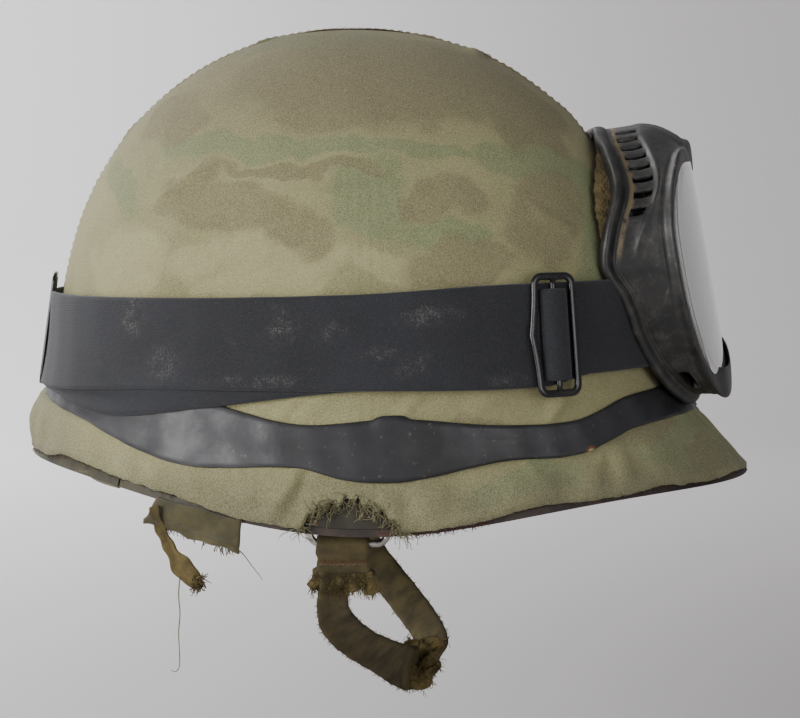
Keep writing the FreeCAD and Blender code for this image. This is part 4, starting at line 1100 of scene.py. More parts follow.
def make_torn_strip():
    share = np.linspace(0, 1, 34)[:, None]
    across = np.linspace(-1, 1, 9)[None, :]
    arc = np.radians(-122.6 + 9.4 * share**1.3) * HANG_RADIUS
    height = -22.8 - 26.0 * share**0.95
    run = unit(np.concatenate([np.gradient(arc, axis=0), np.gradient(height, axis=0)], 1))
    half = 1.7 + 1.9 * bump(share, 0.78, 0.15) + 0.3 * np.sin(share * 29)
    theta = (arc - run[:, 1:] * half * across) / HANG_RADIUS
    z = height + run[:, :1] * half * across
    lift = 4.2 + 0.8 * np.sin(share * 8 + across * 3) * share + 0.8 * across**2 * (1 - share)
    middle = dome(theta, z, lift)
    normals = grid_normals(middle)
    strip = sheet_piece("torn_strip", middle + 0.45 * normals, middle - 0.45 * normals, MATERIALS["frayed"])
    stand_in(strip, "helmet", "cover_torn_strip")


def sheet_faces(columns, rows, start=0):
    """Faces of a closed sheet whose outer and inner grids of points follow each other from start."""
    index = np.arange(columns * rows).reshape(columns, rows) + start
    total = columns * rows
    quads = []
    for i in range(columns - 1):
        for j in range(rows - 1):
            quad = (index[i, j], index[i + 1, j], index[i + 1, j + 1], index[i, j + 1])
            quads += [quad, tuple(total + v for v in reversed(quad))]
    border = list(index[:, 0]) + list(index[-1, 1:]) + list(index[-2::-1, -1]) + list(index[0, -2:0:-1])
    quads += [(b, a, total + a, total + b) for a, b in zip(border, border[1:] + border[:1])]
    return [tuple(int(v) for v in quad) for quad in quads]


def sheet_piece(name, outer, inner, material):
    """Closed sheet from two grids of points."""
    columns, rows = outer.shape[:2]
    points = np.concatenate([outer.reshape(-1, 3), inner.reshape(-1, 3)])
    along = run_lengths(outer[:, 0])[:, None] * np.ones((1, rows))
    down = np.linspace(0, np.linalg.norm(outer[0, -1] - outer[0, 0]), rows)[None, :] * np.ones((columns, 1))
    uv = np.concatenate([np.stack([along, down], -1).reshape(-1, 2)] * 2)
    return new_object(name, points, sheet_faces(columns, rows), material, uv)


# ---------------------------------------------------------------- rubber band, goggle strap, sliders


def make_rubber_band():
    def top(theta):
        angle = angle_of(theta)
        overlap = 1.3 * step(angle, -85.2, -84.6) * (1 - step(angle, -80.0, -79.2))
        return BAND_TOP(theta) + overlap - 0.5 * bump(angle, -129.5, 0.5)

    def uneven(theta, z):
        angle = angle_of(theta)
        folds = 0.16 * np.sin(angle * 0.9 + z * 0.10) + 0.12 * np.sin(angle * 0.37 + 1.0)
        overlap = 0.45 * step(angle, -85.2, -84.7) * (1 - step(angle, -60, -30))
        return folds + overlap * step(z, BAND_TOP(theta) - 6, BAND_TOP(theta) - 3)

    band = dome_strip(
        "inner_tube_band", BAND_FOOT, top, 1.7, 3.1, -180, 180, 421, 12, MATERIALS["band"], shift=uneven
    )
    stand_in(band, "helmet", "rubber_band")


def make_goggle_strap():
    def waver(theta, z):
        angle = np.degrees(theta)
        return 0.12 * np.sin(angle * 0.21) + 0.06 * np.sin(angle * 0.8 + z * 0.05)

    outer = dome_strip(
        "strap_outer", STRAP_FOOT, STRAP_TOP, 4.8, 6.2, 48, 307.6, 340, 26, MATERIALS["elastic"], shift=waver
    )
    stand_in(outer, "goggle_strap", "goggle_strap_outer")
    inner = dome_strip(
        "strap_doubled", INNER_FOOT, lambda theta: STRAP_TOP(theta) - 1.5, 3.35, 4.7, -168, -56.5, 160, 20,
        MATERIALS["elastic"],
    )
    stand_in(inner, "goggle_strap", "goggle_strap_doubled")
    for side, (start, end) in {"right": (-52.6, -20.0), "left": (48.1, 20.0)}.items():
        make_strap_end(side, start, end)


def make_strap_end(side, start, end):
    """Single layer from the slider or the join to the goggles, where it runs into the frame's wall."""
    rows, columns = 22, 44
    sweep = np.radians(np.linspace(start, end, 500))
    reach = []
    for share in np.linspace(0, 1, rows):
        z = STRAP_FOOT(sweep) + (STRAP_TOP(sweep) - STRAP_FOOT(sweep)) * share
        inside = inside_goggles(dome(sweep, z, np.full(500, 5.5)), 2.2)
        hit = int(np.argmax(inside)) if inside.any() else 499
        reach.append(sweep[hit])
    reach = np.array(reach)
    share = np.linspace(0, 1, rows)[None, :]
    along = np.linspace(0, 1, columns)[:, None]
    theta = radians(start) + (reach[None, :] - radians(start)) * along
    foot, top = STRAP_FOOT(theta), STRAP_TOP(theta)
    z = foot + (top - foot) * (0.004 + 0.992 * share)
    rounded = np.ones_like(theta)
    rounded[:, [0, -1]] = 0.35
    outer = dome(theta, z, 5.5 + 0.7 * rounded)
    inner = dome(theta, z, 5.5 - 0.7 * rounded)
    piece = sheet_piece(f"strap_end_{side}", outer, inner, MATERIALS["elastic"])
    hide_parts(f"goggle_strap_end_{side}")
    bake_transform(piece)


def plate_axes(node):
    """Centre, across, up and outward directions of a flat CAD plate, from its own corners."""
    corners = np.array([corner.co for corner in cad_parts[node].data.vertices]) / MM
    centre = (corners.min(0) + corners.max(0)) / 2
    spread = corners - corners.mean(0)
    _, _, ways = np.linalg.svd(spread, full_matrices=False)
    up, across, out = ways
    up = up if up[2] > 0 else -up
    out = out if np.dot(out, centre - np.array([CENTRE_X, 0, 28.0])) > 0 else -out
    across = np.cross(up, out)
    return centre, across, up, out


def make_slider(name):
    """Bent enamelled frame with a shallow point on one side and a bar across its middle."""
    centre, across, up, out = plate_axes(name)
    if name == "slider_rear":
        centre = centre - 1.7 * out
    half_width, half_height, corner, point = 8.2, 21.2, 3.2, 2.2
    loop = []
    for turn_x, turn_y, first in ((1, 1, 0), (-1, 1, 90), (-1, -1, 180), (1, -1, 270)):
        for bend in np.linspace(first, first + 90, 7):
            x = turn_x * (half_width - corner) + corner * cos(radians(bend))
            y = turn_y * (half_height - corner) + corner * sin(radians(bend))
            loop.append((x, y))
        if turn_x < 0 and turn_y > 0:
            for share in np.linspace(0.1, 0.9, 9):
                x = -half_width - point * (1 - abs(2 * share - 1)) ** 1.5
                loop.append((x, (1 - 2 * share) * (half_height - corner)))
    loop = np.array(loop)
    run = unit(np.roll(loop, -1, 0) - np.roll(loop, 1, 0))
    inward = np.stack([-run[:, 1], run[:, 0]], -1)
    turn = np.linspace(0, 2 * pi, 12, endpoint=False)
    side = 1.35 * np.sign(np.cos(turn)) * np.abs(np.cos(turn)) ** 0.6
    lift = 0.85 * np.sign(np.sin(turn)) * np.abs(np.sin(turn)) ** 0.6
    sections = []
    for spot, way in zip(loop, inward):
        flat = spot + way * side[:, None]
        sections.append(centre + flat[:, :1] * across + flat[:, 1:] * up + lift[:, None] * out)
    rim = tube(f"{name}_frame", np.array(sections), MATERIALS["enamel"], loop=True)
    bar = []
    for y in np.linspace(-half_height + 0.6, half_height - 0.6, 16):
        flat = np.stack([1.2 * np.cos(turn), np.full(12, y)], -1)
        bar.append(centre + flat[:, :1] * across + flat[:, 1:] * up + 0.8 * np.sin(turn)[:, None] * out)
    bar = tube(f"{name}_bar", np.array(bar), MATERIALS["enamel"])
    for piece in (rim, bar):
        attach(piece, name)
    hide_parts(name)


def make_strap_turn():
    """The strap's end: up through one slot, over the bar and down through the other."""
    centre, across, up, out = plate_axes("slider_right")
    rows = 22
    half_height = 16.6
    route = [(-5.5, -0.8), (-5.0, -0.1), (-3.9, 0.9), (-2.2, 1.75), (0, 2.0)]
    route += [(2.2, 1.75), (3.9, 0.9), (5.0, -0.1), (5.5, -0.8)]
    route = smooth_path(route, 30)
    run = unit(np.gradient(route, axis=0))
    normal = np.stack([-run[:, 1], run[:, 0]], -1)
    y = np.linspace(-half_height, half_height, rows)
    thick = np.full(rows, 0.65)
    thick[[0, -1]] = 0.3

    def grid(sign):
        flat = route[:, None] + sign * normal[:, None] * thick[None, :, None]
        points = centre + flat[..., :1] * across + flat[..., 1:] * out
        return points + y[None, :, None] * up

    turn = sheet_piece("strap_turn", grid(1), grid(-1), MATERIALS["elastic"])
    stand_in(turn, "slider_right", "goggle_strap_turn")


# ---------------------------------------------------------------- goggles

GOGGLE_PLACE = np.array([118.0, 0.0, 62.5])
GOGGLE_LEAN = radians(7.0)
GOGGLE_OUTLINE = [
    (0, 54.5), (22, 53), (42, 45.5), (59, 34), (68.5, 19), (71, 1),
    (69, -22), (62, -42), (50, -52.5), (34, -54.5), (18, -51), (0, -46),
]
LENS_BEND = 128.0
GOGGLE_DEPTH = 24.8
# The frame's inner face and its seat for the foam: distance in from the outline, offset from the dome.
SEAT_PROFILE = [
    (4.2, 13.3), (9.0, 13.4), (14.4, 13.1), (15.0, 11.8), (14.4, 10.4), (5.0, 10.3), (4.1, 9.0), (4.0, 5.2),
]
# The lip in front, the lens groove and the wall behind it: distance behind the lens line, distance in.
LIP_PROFILE = [
    (6.2, 0.0), (5.4, -0.4), (4.6, -1.0), (3.8, -1.7), (3.1, -2.0), (2.6, -1.6), (2.3, 0.2),
    (2.2, 3.0), (2.2, 7.2), (2.3, 9.4), (2.6, 10.2), (3.0, 9.8), (3.15, 5.0), (3.2, 4.2),
    (4.8, 4.2), (4.9, 9.5), (6.2, 10.4), (7.8, 9.6), (8.4, 5.2), (8.8, 4.2),
]
VENTED_ROW = 11  # the frame's row of faces that is open at the vents


def outline_curve(count):
    """Evenly spaced points round the goggles, and the inward direction at each."""
    half = GOGGLE_OUTLINE
    loop = np.array(half + [(-a, u) for a, u in half[-2:0:-1]], float)
    index = np.linspace(0, len(loop), 4000, endpoint=False)
    base = index.astype(int)
    t = (index - base)[:, None]
    curve = catmull_rom(*(loop[(base + k) % len(loop)] for k in (-1, 0, 1, 2)), t)
    closed = np.vstack([curve, curve[:1]])
    run = run_lengths(closed)
    even = np.linspace(0, run[-1], count, endpoint=False)
    points = np.stack([np.interp(even, run, closed[:, k]) for k in range(2)], -1)
    way = unit(np.roll(points, -2, 0) - np.roll(points, 2, 0))
    inward = np.stack([way[:, 1], -way[:, 0]], -1)
    return points, inward


def taper(x):
    """How far the outline shrinks at the top and at the foot, at local depth x."""
    x = np.clip(x, -55, 45)
    top = 0.07 * x * (x - 45) / (55 * 100) + 0.19 * x * (x + 55) / (45 * 100)
    foot = 0.22 * x * (x - 45) / (55 * 100) + 0.06 * (x + 55) * (45 - x) / (55 * 45)
    return np.clip(top, 0, 1), np.clip(foot, 0, 1)


def goggle_point(x, flat):
    """Point of the goggles at local depth x; flat is its (across, up) place in the outline's plane."""
    top, foot = taper(x)
    across, up = flat[..., 0], flat[..., 1]
    up_local = np.where(up > 0, up * (1 - top), up)
    across = across * (1 - foot * np.clip(-up / 40, 0, 1))
    c, s = cos(GOGGLE_LEAN), sin(GOGGLE_LEAN)
    return GOGGLE_PLACE + np.stack([x * c - up_local * s, across + 0 * x, x * s + up_local * c], -1)


def inside_goggles(points, inset):
    """Whether points lie inside the goggles' outer wall by at least inset."""
    moved = points - GOGGLE_PLACE
    c, s = cos(GOGGLE_LEAN), sin(GOGGLE_LEAN)
    x = moved[..., 0] * c + moved[..., 2] * s
    up = -moved[..., 0] * s + moved[..., 2] * c
    top, foot = taper(x)
    up = np.where(up > 0, up / (1 - top), up)
    across = moved[..., 1] / (1 - foot * np.clip(-up / 40, 0, 1))
    loop, inward = outline_curve(240)
    loop = loop + inward * inset
    inside = np.zeros(across.shape, bool)
    for (a0, u0), (a1, u1) in zip(loop, np.roll(loop, -1, 0)):
        crosses = (u0 > up) != (u1 > up)
        with np.errstate(divide="ignore", invalid="ignore"):
            at = a0 + (up - u0) / (u1 - u0) * (a1 - a0)
        inside ^= crosses & (across < at)
    return inside & (x > -50)


def lens_front(across, up):
    """Local depth of the lens line; the lens leans back a little more than the frame."""
    axis = GOGGLE_DEPTH - LENS_BEND
    return axis + np.sqrt(LENS_BEND**2 - across**2) - 0.065 * np.clip(up, -60, 40)


def reach_dome(flat, offset):
    """Local depth at which a line through the outline meets the dome at this offset."""
    low, high = np.full(flat.shape[:-1], -60.0), np.full(flat.shape[:-1], 30.0)
    for _ in range(26):
        middle = (low + high) / 2
        spot = goggle_point(middle, flat)
        radius = np.hypot(spot[..., 0] - CENTRE_X, spot[..., 1])
        theta = np.arctan2(spot[..., 1], spot[..., 0] - CENTRE_X)
        outside = radius > dome_radius(theta, spot[..., 2], offset)
        high = np.where(outside, middle, high)
        low = np.where(outside, low, middle)
    return (low + high) / 2


def crest_share(flat):
    """1 along the top of the outline, where the frame slopes down to the lens."""
    return (1 - step(np.abs(flat[:, 0]), 30, 54)) * step(flat[:, 1], 20, 40)


def make_goggles():
    count = 288
    flat, inward = outline_curve(count)
    across, up = flat[:, 0], flat[:, 1]
    rear = reach_dome(flat, 4.6)
    front = lens_front(across, up)
    upper = step(up, 2, 16)
    curl = 7.5 * bump(up, 30, 14) * step(np.abs(across), 30, 45)
    curl = curl - 3.0 * bump(up, 1, 9) * step(np.abs(across), 40, 60)
    crest = crest_share(flat)
    rear = rear + curl
    channel = upper * (1 - 0.8 * step(up, 45, 52))
    flared = 1 - 0.75 * step(up, 44, 52)
    slot_rear = rear + 8.6
    slot_end = np.minimum(slot_rear + 4 + 4 * step(up, 6, 40), front - 9.0)
    ridge = 1.1 * bump(up, 0, 26)
    rows = [
        (rear + 0.4, 3.5), (rear - 0.1, 1.4), (rear + 0.3, -1.4 * flared), (rear + 1.6, -2.9 * flared),
        (rear + 3.2, -2.7 * flared), (rear + 4.4, -1.2 * flared), (rear + 5.2, 0.5), (rear + 6.0, 0.9),
        (rear + 6.7, 0.5), (rear + 7.3, 0.9),
        (rear + 7.9, 0.5 + 0.9 * channel), (slot_rear, 0.5 + 1.2 * channel), (slot_end, 0.3 + 1.0 * channel),
        (slot_end + 1.0, 0.2 + 0.5 * channel), (slot_end + 2.0, -0.5 * channel),
    ]
    last = front - 7.6
    for share, inset in ((0.3, 0.1), (0.65, -0.4 * ridge)):
        rows.append((slot_end + 2.0 + (last - slot_end - 2.0) * share, inset))
    rows += [(last, -1.0 * ridge), (front - 6.9, -0.2 - 0.4 * ridge)]
    rows += [(front - back, inset) for back, inset in LIP_PROFILE]
    rows += [(slot_end + 0.3, 4.3), (slot_rear - 0.3, 4.3)]
    points = []
    for x, inset in rows:
        inset = inset + 10.0 * crest * np.clip((x - front + 19) / 17, 0, 1) ** 2
        points.append(goggle_point(x, flat + inward * inset[:, None]))
    for inset, offset in SEAT_PROFILE:
        inner_flat = flat + inward * inset
        points.append(goggle_point(reach_dome(inner_flat, offset), inner_flat))
    sections = np.stack(points, 1)
    around = sections.shape[1]
    faces = tube_faces(count, around, loop=True)
    removed = vent_cells(flat)
    outer_row, inner_row = VENTED_ROW, len(rows) - 2
    keep = []
    for face_index, face in enumerate(faces):
        column, row = divmod(face_index, around)
        if column in removed and row in (outer_row, inner_row):
            continue
        keep.append(face)
    for column in removed:
        following = (column + 1) % count
        a, b = column * around, following * around
        for here, ends in ((a, column - 1 not in removed), (b, following not in removed)):
            if ends:
                quad = (here + outer_row, here + outer_row + 1, here + inner_row, here + inner_row + 1)
                keep.append(quad if here == a else tuple(reversed(quad)))
        keep.append((a + outer_row, b + outer_row, b + inner_row + 1, a + inner_row + 1))
        keep.append((b + outer_row + 1, a + outer_row + 1, a + inner_row, b + inner_row))
    uv = np.stack(np.broadcast_arrays(np.arange(around)[None, :], up[:, None]), -1).reshape(-1, 2)
    body = new_object("goggle_rubber_frame", sections.reshape(-1, 3), keep, MATERIALS["goggle"], uv)
    smoothing = body.modifiers.new("smooth", "SUBSURF")
    smoothing.levels = smoothing.render_levels = 1
    stand_in(body, "goggles", "goggle_frame")
    make_lens(flat, inward)
    make_face_foam(flat, inward)


def vent_cells(flat):
    """Columns of the frame that are open: eight vents at each upper corner and one at each lower one."""
    columns = set()
    for side in (-1, 1):
        chosen = [i for i in range(len(flat)) if flat[i, 0] * side > 0]
        upper = sorted((i for i in chosen if flat[i, 1] > 10), key=lambda i: abs(flat[i, 0]))
        spots = [i for i in upper if 24 < abs(flat[i, 0])]
        for k in range(8):
            for i in spots[2 + 5 * k : 4 + 5 * k]:
                columns.add(i)
        lower = [i for i in chosen if flat[i, 1] < -40 and 54 < abs(flat[i, 0]) < 61]
        columns.update(lower)
    return columns


def make_lens(flat, inward):
    """Bent clear sheet held in the frame's groove."""
    rings = []
    centre_up = 2.0
    for share in np.linspace(0.0, 1.0, 16):
        ring = flat + inward * (4.6 + 7.9 * crest_share(flat))[:, None]
        ring = np.stack([ring[:, 0] * share, centre_up + (ring[:, 1] - centre_up) * share], -1)
        rings.append(ring)
    rings = np.array(rings)
    columns = rings.shape[1]
    points, faces = [], []
    for thickness, flip in ((3.35, False), (4.55, True)):
        start = len(points) * columns
        for ring in rings[1:]:
            points.append(goggle_point(lens_front(ring[:, 0], ring[:, 1]) - thickness, ring))
        for i in range(len(rings) - 2):
            for j in range(columns):
                k = (j + 1) % columns
                here, outward = start + i * columns, start + (i + 1) * columns
                quad = (here + j, outward + j, outward + k, here + k)
                faces.append(tuple(reversed(quad)) if flip else quad)
        cap = tuple(start + j for j in range(columns))
        faces.append(tuple(reversed(cap)) if flip else cap)
    outer_rim = (len(rings) - 2) * columns
    inner_rim = outer_rim + (len(rings) - 1) * columns
    for j in range(columns):
        k = (j + 1) % columns
        faces.append((outer_rim + k, outer_rim + j, inner_rim + j, inner_rim + k))
    lens = new_object("goggle_clear_lens", np.concatenate(points), faces, MATERIALS["lens"])
    stand_in(lens, "goggles", "goggle_lens")


# Section of the face foam: distance in from the frame's outline, offset from the dome.
FOAM_PROFILE = [
    (4.3, 4.4), (2.2, 3.9), (1.6, 4.6), (2.4, 6.2), (3.2, 8.0), (4.4, 9.6),
    (8.0, 10.0), (13.5, 9.8), (14.9, 8.6), (15.2, 6.4), (14.6, 4.6), (9.5, 4.0),
]


def make_face_foam(flat, inward):
    """Foam between the frame's seat and the cover, and foam behind the upper vents."""
    outline = np.arange(len(flat))
    wander = 0.35 * np.sin(outline * 0.9) + 0.25 * np.sin(outline * 2.3 + 1)
    points = []
    for inset, offset in FOAM_PROFILE:
        spread = flat + inward * (inset + 0.4 * wander)[:, None]
        points.append(goggle_point(reach_dome(spread, offset + 0.3 * wander), spread))
    foam = tube("face_foam_pad", np.stack(points, 1), MATERIALS["foam"], loop=True)
    stand_in(foam, "goggles", "goggle_face_foam")

    high = np.nonzero(flat[:, 1] > 23)[0]
    start = int(np.nonzero(np.diff(high) > 1)[0][0]) + 1 if (np.diff(high) > 1).any() else 0
    high = np.concatenate([high[start:], high[:start]])
    sections = []
    for i in high:
        front = float(lens_front(*flat[i])) - 9.0
        ring = []
        for x_share, inset in ((0, 5.6), (0.5, 5.5), (1, 5.6), (1, 8.1), (0.5, 8.4), (0, 8.1)):
            x = -6.0 + x_share * (min(12.0, front) + 6.0)
            spot = flat[i] + inward[i] * (inset + 0.15 * sin(i * 1.7))
            ring.append(goggle_point(np.array(x), spot))
        sections.append(ring)
    vent = tube("vent_foam_strip", np.array(sections), MATERIALS["vent"])
    stand_in(vent, "goggles", "goggle_vent_foam")


# ---------------------------------------------------------------- chinstrap

BAR_Y, BAR_Z, BAR_X = 109.5, -36.0, -5.0
WRAP_TILT = radians(27.0)


def wrap_points(sign, local):
    """From the wrap's own frame, origin at the bail's lower bar and -z down the webbing."""
    x, y, z = local[..., 0], local[..., 1], local[..., 2]
    c, s = cos(-sign * WRAP_TILT), sin(-sign * WRAP_TILT)
    return np.stack([BAR_X + x, sign * BAR_Y + y * c - z * s, BAR_Z + y * s + z * c], -1)


def make_wrap(side):
    sign = -1 if side == "right" else 1
    outline = [(0.95, -12.4), (1.0, -8.0), (1.3, -4.0), (2.3, -1.0), (2.0, 1.5), (0.0, 2.55)]
    outline += [(-2.0, 1.5), (-2.3, -1.0), (-1.3, -4.0), (-1.0, -8.0), (-0.95, -12.4)]
    route = smooth_path(outline, 44)
    run = unit(np.gradient(route, axis=0))
    normal = np.stack([run[:, 1], -run[:, 0]], -1)
    rows = 14
    share = np.linspace(-0.5, 0.5, rows)
    thick = np.full(rows, 0.75)
    thick[[0, -1]] = 0.35

    def grid(way):
        flat = route[:, None] + way * normal[:, None] * thick[None, :, None]
        ripple = 0.25 * np.sin(route[:, None, 1] * 1.1 + share[None, :] * 9)
        width = 19.0 - 0.6 * np.sin(route[:, 1] * 0.7)
        x = share[None, :] * width[:, None] + 0.3 * ripple
        return wrap_points(sign, np.stack([x, flat[..., 0] + 0.4 * ripple, flat[..., 1]], -1))

    wrap = sheet_piece(f"wrap_{side}", grid(1), grid(-1), MATERIALS["strap"])
    stand_in(wrap, f"wrap_{side}", f"chinstrap_wrap_{side}")

    random = np.random.default_rng(11 if side == "right" else 12)
    stitches = []
    for k in range(26):
        x = -8.0 + 16.0 * k / 25
        for z0, z1 in ((-8.2, -6.2), (-6.4, -8.0)):
            places = ((-0.2, 1.9, z0), (0.1, 2.1, (z0 + z1) / 2), (0.4, 1.9, z1))
            spots = np.array([(x + shift, sign * out, z) for shift, out, z in places])
            stitches.append(wrap_points(sign, spots + random.normal(size=(3, 3)) * 0.08))
    fibres(f"bar_tack_{side}", stitches, 0.22, "tack", f"wrap_{side}")
    make_collar(side, sign, random)


def make_collar(side, sign, random):
    """Gathered end of the webbing, folded on itself and frayed along its foot."""
    columns, rows = 60, 12
    along = np.linspace(-1, 1, columns)[:, None]
    down = np.linspace(0, 1, rows)[None, :]
    half = 9.5 + 3.3 * down**0.6
    x = along * half + 0.5 * np.sin(down * 5 + along * 8)
    z = -12.0 - 8.6 * down - 1.1 * down * np.sin(along * 9.0 + 1) - 0.8 * down * along
    wave = 1.5 * np.sin(along * 11 + 2.0 * down) * step(down, 0.0, 0.5) + 0.4 * np.sin(along * 27 + 4 * down)
    middle = np.stack([x, 0.6 * wave + 0 * z, z + 0 * x], -1)
    normals = grid_normals(middle)
    thick = 1.35 - 0.35 * down[..., None] + 0 * middle
    collar = sheet_piece(
        f"collar_{side}", wrap_points(sign, middle + normals * thick),
        wrap_points(sign, middle - normals * thick), MATERIALS["frayed"],
    )
    stand_in(collar, f"wrap_{side}", f"chinstrap_collar_{side}")
    paths = []
    for _ in range(260):
        x = random.uniform(-12.5, 12.5)
        spot = [x, random.uniform(-1.6, 1.6), -20.0 - 0.05 * x + random.normal() * 0.7]
        way = (random.normal() * 0.5, 0.3 * random.normal(), -1)
        paths.append(fray(random, wrap_points(sign, np.array(spot)), way, random.uniform(1.5, 4.5)))
    for _ in range(240):
        x = random.uniform(-12, 12)
        root = wrap_points(sign, np.array([x, sign * 1.6, random.uniform(-20, -12.5)]))
        way = (random.normal(), sign * 0.8, -0.5)
        paths.append(fray(random, root, way, random.uniform(1.0, 2.6), 0.2, 0.5, 4))
    fibres(f"collar_fray_{side}", paths, 0.16, "frayed", f"wrap_{side}")


RIGHT_STATIONS = [
    (-7.5, -104, -47, 1.0, 0.2, 0.0, 13, 2.4),
    (-8.5, -101, -53, 1.0, 0.2, 0.0, 11.5, 2.4),
    (-9.5, -95, -61, 1.0, 0.3, 0.15, 11.5, 2.4),
    (-8, -82, -71, 0.9, 0.1, 0.5, 13.5, 2.2),
    (-1, -62, -83, 0.7, 0.0, 0.7, 14, 2.0),
    (8, -42, -93, 0.6, 0.0, 0.8, 15, 1.9),
    (15, -22, -102, 0.3, 0.0, 0.95, 17, 1.8),
    (19, -8, -107, 0.1, 0.0, 1.0, 18, 1.7),
    (23, -1, -108, -0.2, 0.0, 1.0, 16, 1.7),
]
LEFT_STATIONS = [
    (26, 2, -107, -0.1, 0.0, 1.0, 15, 1.7),
    (31, 9, -108, 0.5, 0.0, 1.0, 15, 1.7),
    (30, 24, -104, 0.6, 0.0, 0.9, 15, 1.7),
    (24, 44, -98, 0.7, 0.0, 0.7, 15, 1.7),
    (14, 65, -89, 0.8, 0.0, 0.5, 15, 1.7),
    (2, 83, -77, 0.9, 0.0, 0.3, 15, 1.7),
    (-6, 95.5, -62, 1.0, 0.0, 0.1, 12.5, 1.7),
    (-6.5, 101, -54, 1.0, 0.0, 0.1, 12, 1.7),
    (-6.2, 102.3, -51.2, 1.0, 0.0, 0.1, 12, 1.7),
]


def make_chinstrap():
    random = np.random.default_rng(3)
    hairs = []
    for side, stations, curl in (("right", RIGHT_STATIONS, 0.9), ("left", LEFT_STATIONS, 0.6)):
        sections, uv = webbing_sections(stations, 110, 11, curl)
        crumple = [wave_noise(sections, 4.0, seed) for seed in (1.0, 5.0, 9.0)]
        sections = sections + 0.28 * np.stack(crumple, -1)
        strap = tube(f"chinstrap_{side}_webbing", sections, MATERIALS["strap"], uv=uv)
        if side == "right":
            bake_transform(strap)
        else:
            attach(strap, "chinstrap")
        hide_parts(f"chinstrap_{side}")
        for edge in (0, 10):
            for _ in range(170):
                root = sections[random.integers(22, 108), edge]
                way = unit(root - sections[random.integers(2, 108), 5]) * 0.2 + random.normal(size=3) * 0.6
                hairs.append(fray(random, root, way, random.uniform(0.8, 2.2), 0.1, 0.5, 4))
    fibres("chinstrap_fuzz", hairs, 0.12, "strap", "chinstrap")
    make_knot(random)


def make_knot(random):
    """The frayed end, knotted through the other half and matted with rust."""
    turns = np.linspace(0, 2 * pi, 30)
    sine, cosine = np.sin, np.cos
    sections = []
    for path in (
        (24.5 + 6.4 * cosine(turns), 1.0 + 4.8 * sine(turns), -106 + 5.6 * sine(turns + 0.8)),
        (22.5 + 5.6 * sine(turns), -2.0 + 4.8 * cosine(turns), -107 + 5.4 * cosine(turns + 0.4)),
    ):
        path = np.stack(path, -1)
        across = unit(np.array([[0.3, 0.4, 0.9]])) + 0 * path
        width, thickness = np.full((30, 1), 8.0), np.full((30, 1), 2.2)
        stations = np.concatenate([path, across, width, thickness], 1)
        sections.append(webbing_sections(stations, 60, 7, 0.5)[0])
    points = np.concatenate([part.reshape(-1, 3) for part in sections])
    points = points + 0.5 * np.stack([wave_noise(points, 3.5, seed) for seed in (2.0, 6.0, 8.0)], -1)
    faces = tube_faces(60, 14) + tube_faces(60, 14, start=60 * 14)
    knot = new_object("chinstrap_tangle", points, faces, MATERIALS["frayed"])
    stand_in(knot, "chinstrap", "chinstrap_knot")
    paths = []
    for _ in range(620):
        root = points[random.integers(0, len(points))]
        way = unit(root - np.array([24.0, 0, -107.0])) + random.normal(size=3) * 0.6
        paths.append(fray(random, root, way, random.uniform(1.5, 5.0), 0.15, 0.5, 5))
    fibres("chinstrap_tangle_fray", paths, 0.17, "frayed", "chinstrap")


# ---------------------------------------------------------------- inside: suspension and sweatband


def arch_grid(angle, crown_z, lift):
    """Points of a band that crosses the inside of the liner from one side to the other."""
    sweep = np.linspace(0, pi, 48)[:, None]
    share = np.linspace(-1, 1, 12)[None, :]
    foot_angle = np.where(np.cos(sweep) > 0, radians(angle), radians(angle + 180))
    reach = plan_radius(foot_angle) - 7.5 + lift
    power = 2 / 2.3
    along = reach * np.abs(np.cos(sweep)) ** power * np.sign(np.cos(sweep))
    rise = (crown_z + lift - 22.0) * np.abs(np.sin(sweep)) ** power
    c, s = cos(radians(angle)), sin(radians(angle))
    half = 12.3 * share
    return np.stack([CENTRE_X + along * c - half * s, along * s + half * c, 22.0 + rise + 0 * half], -1)


def make_suspension():
    for number, angle in enumerate((30, 90, 150)):
        crown_z = 112.0 + 2.4 * number
        grids = (arch_grid(angle, crown_z, lift) for lift in (0.0, -1.0))
        band = sheet_piece(f"suspension_webbing_{number + 1}", *grids, MATERIALS["webbing"])
        stand_in(band, "helmet", f"suspension_band_{number + 1}")


LINER_SHARES = (0.35, 0.6)  # how much of the shell's flare the liner follows at the sides and in front


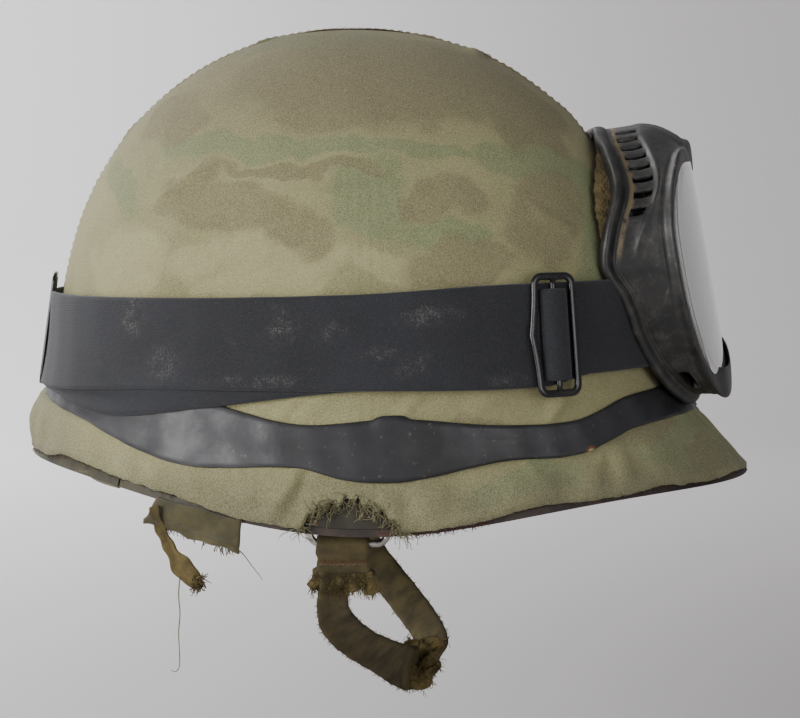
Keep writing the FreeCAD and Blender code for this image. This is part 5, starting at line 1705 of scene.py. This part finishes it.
def make_sweatband():
    turn = np.linspace(0, 2 * pi, 160, endpoint=False)[:, None]
    depth = np.array([0.0, -0.3, -0.3, -0.4, -1.0, -1.7, -2.0, -1.7])[None, :] + 0.12 * np.sin(turn * 23)
    height = np.array([0.0, 0.6, 15.0, 29.4, 30.0, 29.4, 15.0, 0.6])[None, :]
    height = height + 0.3 * np.sin(turn * 9) * (height > 1)
    points = np.stack([(97.0 + depth) * np.cos(turn), (78.0 + depth) * np.sin(turn), height], -1)
    band = tube("sweatband_leather", points, MATERIALS["leather"], loop=True)
    stand_in(band, "helmet", "sweatband")

    points, faces = [], []
    for angle in range(30, 360, 60):
        theta = radians(angle)
        start = np.array([98.2 * cos(theta), 79.2 * sin(theta), 12.5])
        tangent = unit(np.array([-98.2 * sin(theta), 79.2 * cos(theta), 0.0]))
        inner = np.linspace(start - tangent * 8.6, start + tangent * 8.6, 6)
        outer = dome(np.linspace(theta - 0.077, theta + 0.077, 6), 12.5, -7.3, *LINER_SHARES)
        share = np.linspace(0, 1, 9)[:, None, None]
        grid = inner[None] * (1 - share) + outer[None] * share
        sag = np.array([0, 0, -0.35]) * np.sin(pi * share)
        faces += sheet_faces(9, 6, sum(len(part) for part in points))
        upper, lower = grid + sag + [0, 0, 0.5], grid + sag - [0, 0, 0.5]
        points += [upper.reshape(-1, 3), lower.reshape(-1, 3)]
    stays = new_object("sweatband_webbing_stays", np.concatenate(points), faces, MATERIALS["webbing"])
    stand_in(stays, "helmet", "sweatband_stays")

    low, high = (lambda theta, z=z: z + 0 * theta for z in (-24.0, -6.0))
    strap = dome_strip(
        "nape_webbing", low, high, -15.2, -14.0, 146, 214, 60, 10, MATERIALS["webbing"], shares=LINER_SHARES
    )
    stand_in(strap, "helmet", "nape_strap")


make_stage()
dress_cad_nodes()
make_cover()
make_crown_seam()
make_tucks()
make_torn_cloth()
make_rubber_band()
make_goggle_strap()
for slider in ("slider_right", "slider_rear"):
    make_slider(slider)
make_strap_turn()
make_goggles()
for side in ("right", "left"):
    make_wrap(side)
make_chinstrap()
make_suspension()
make_sweatband()
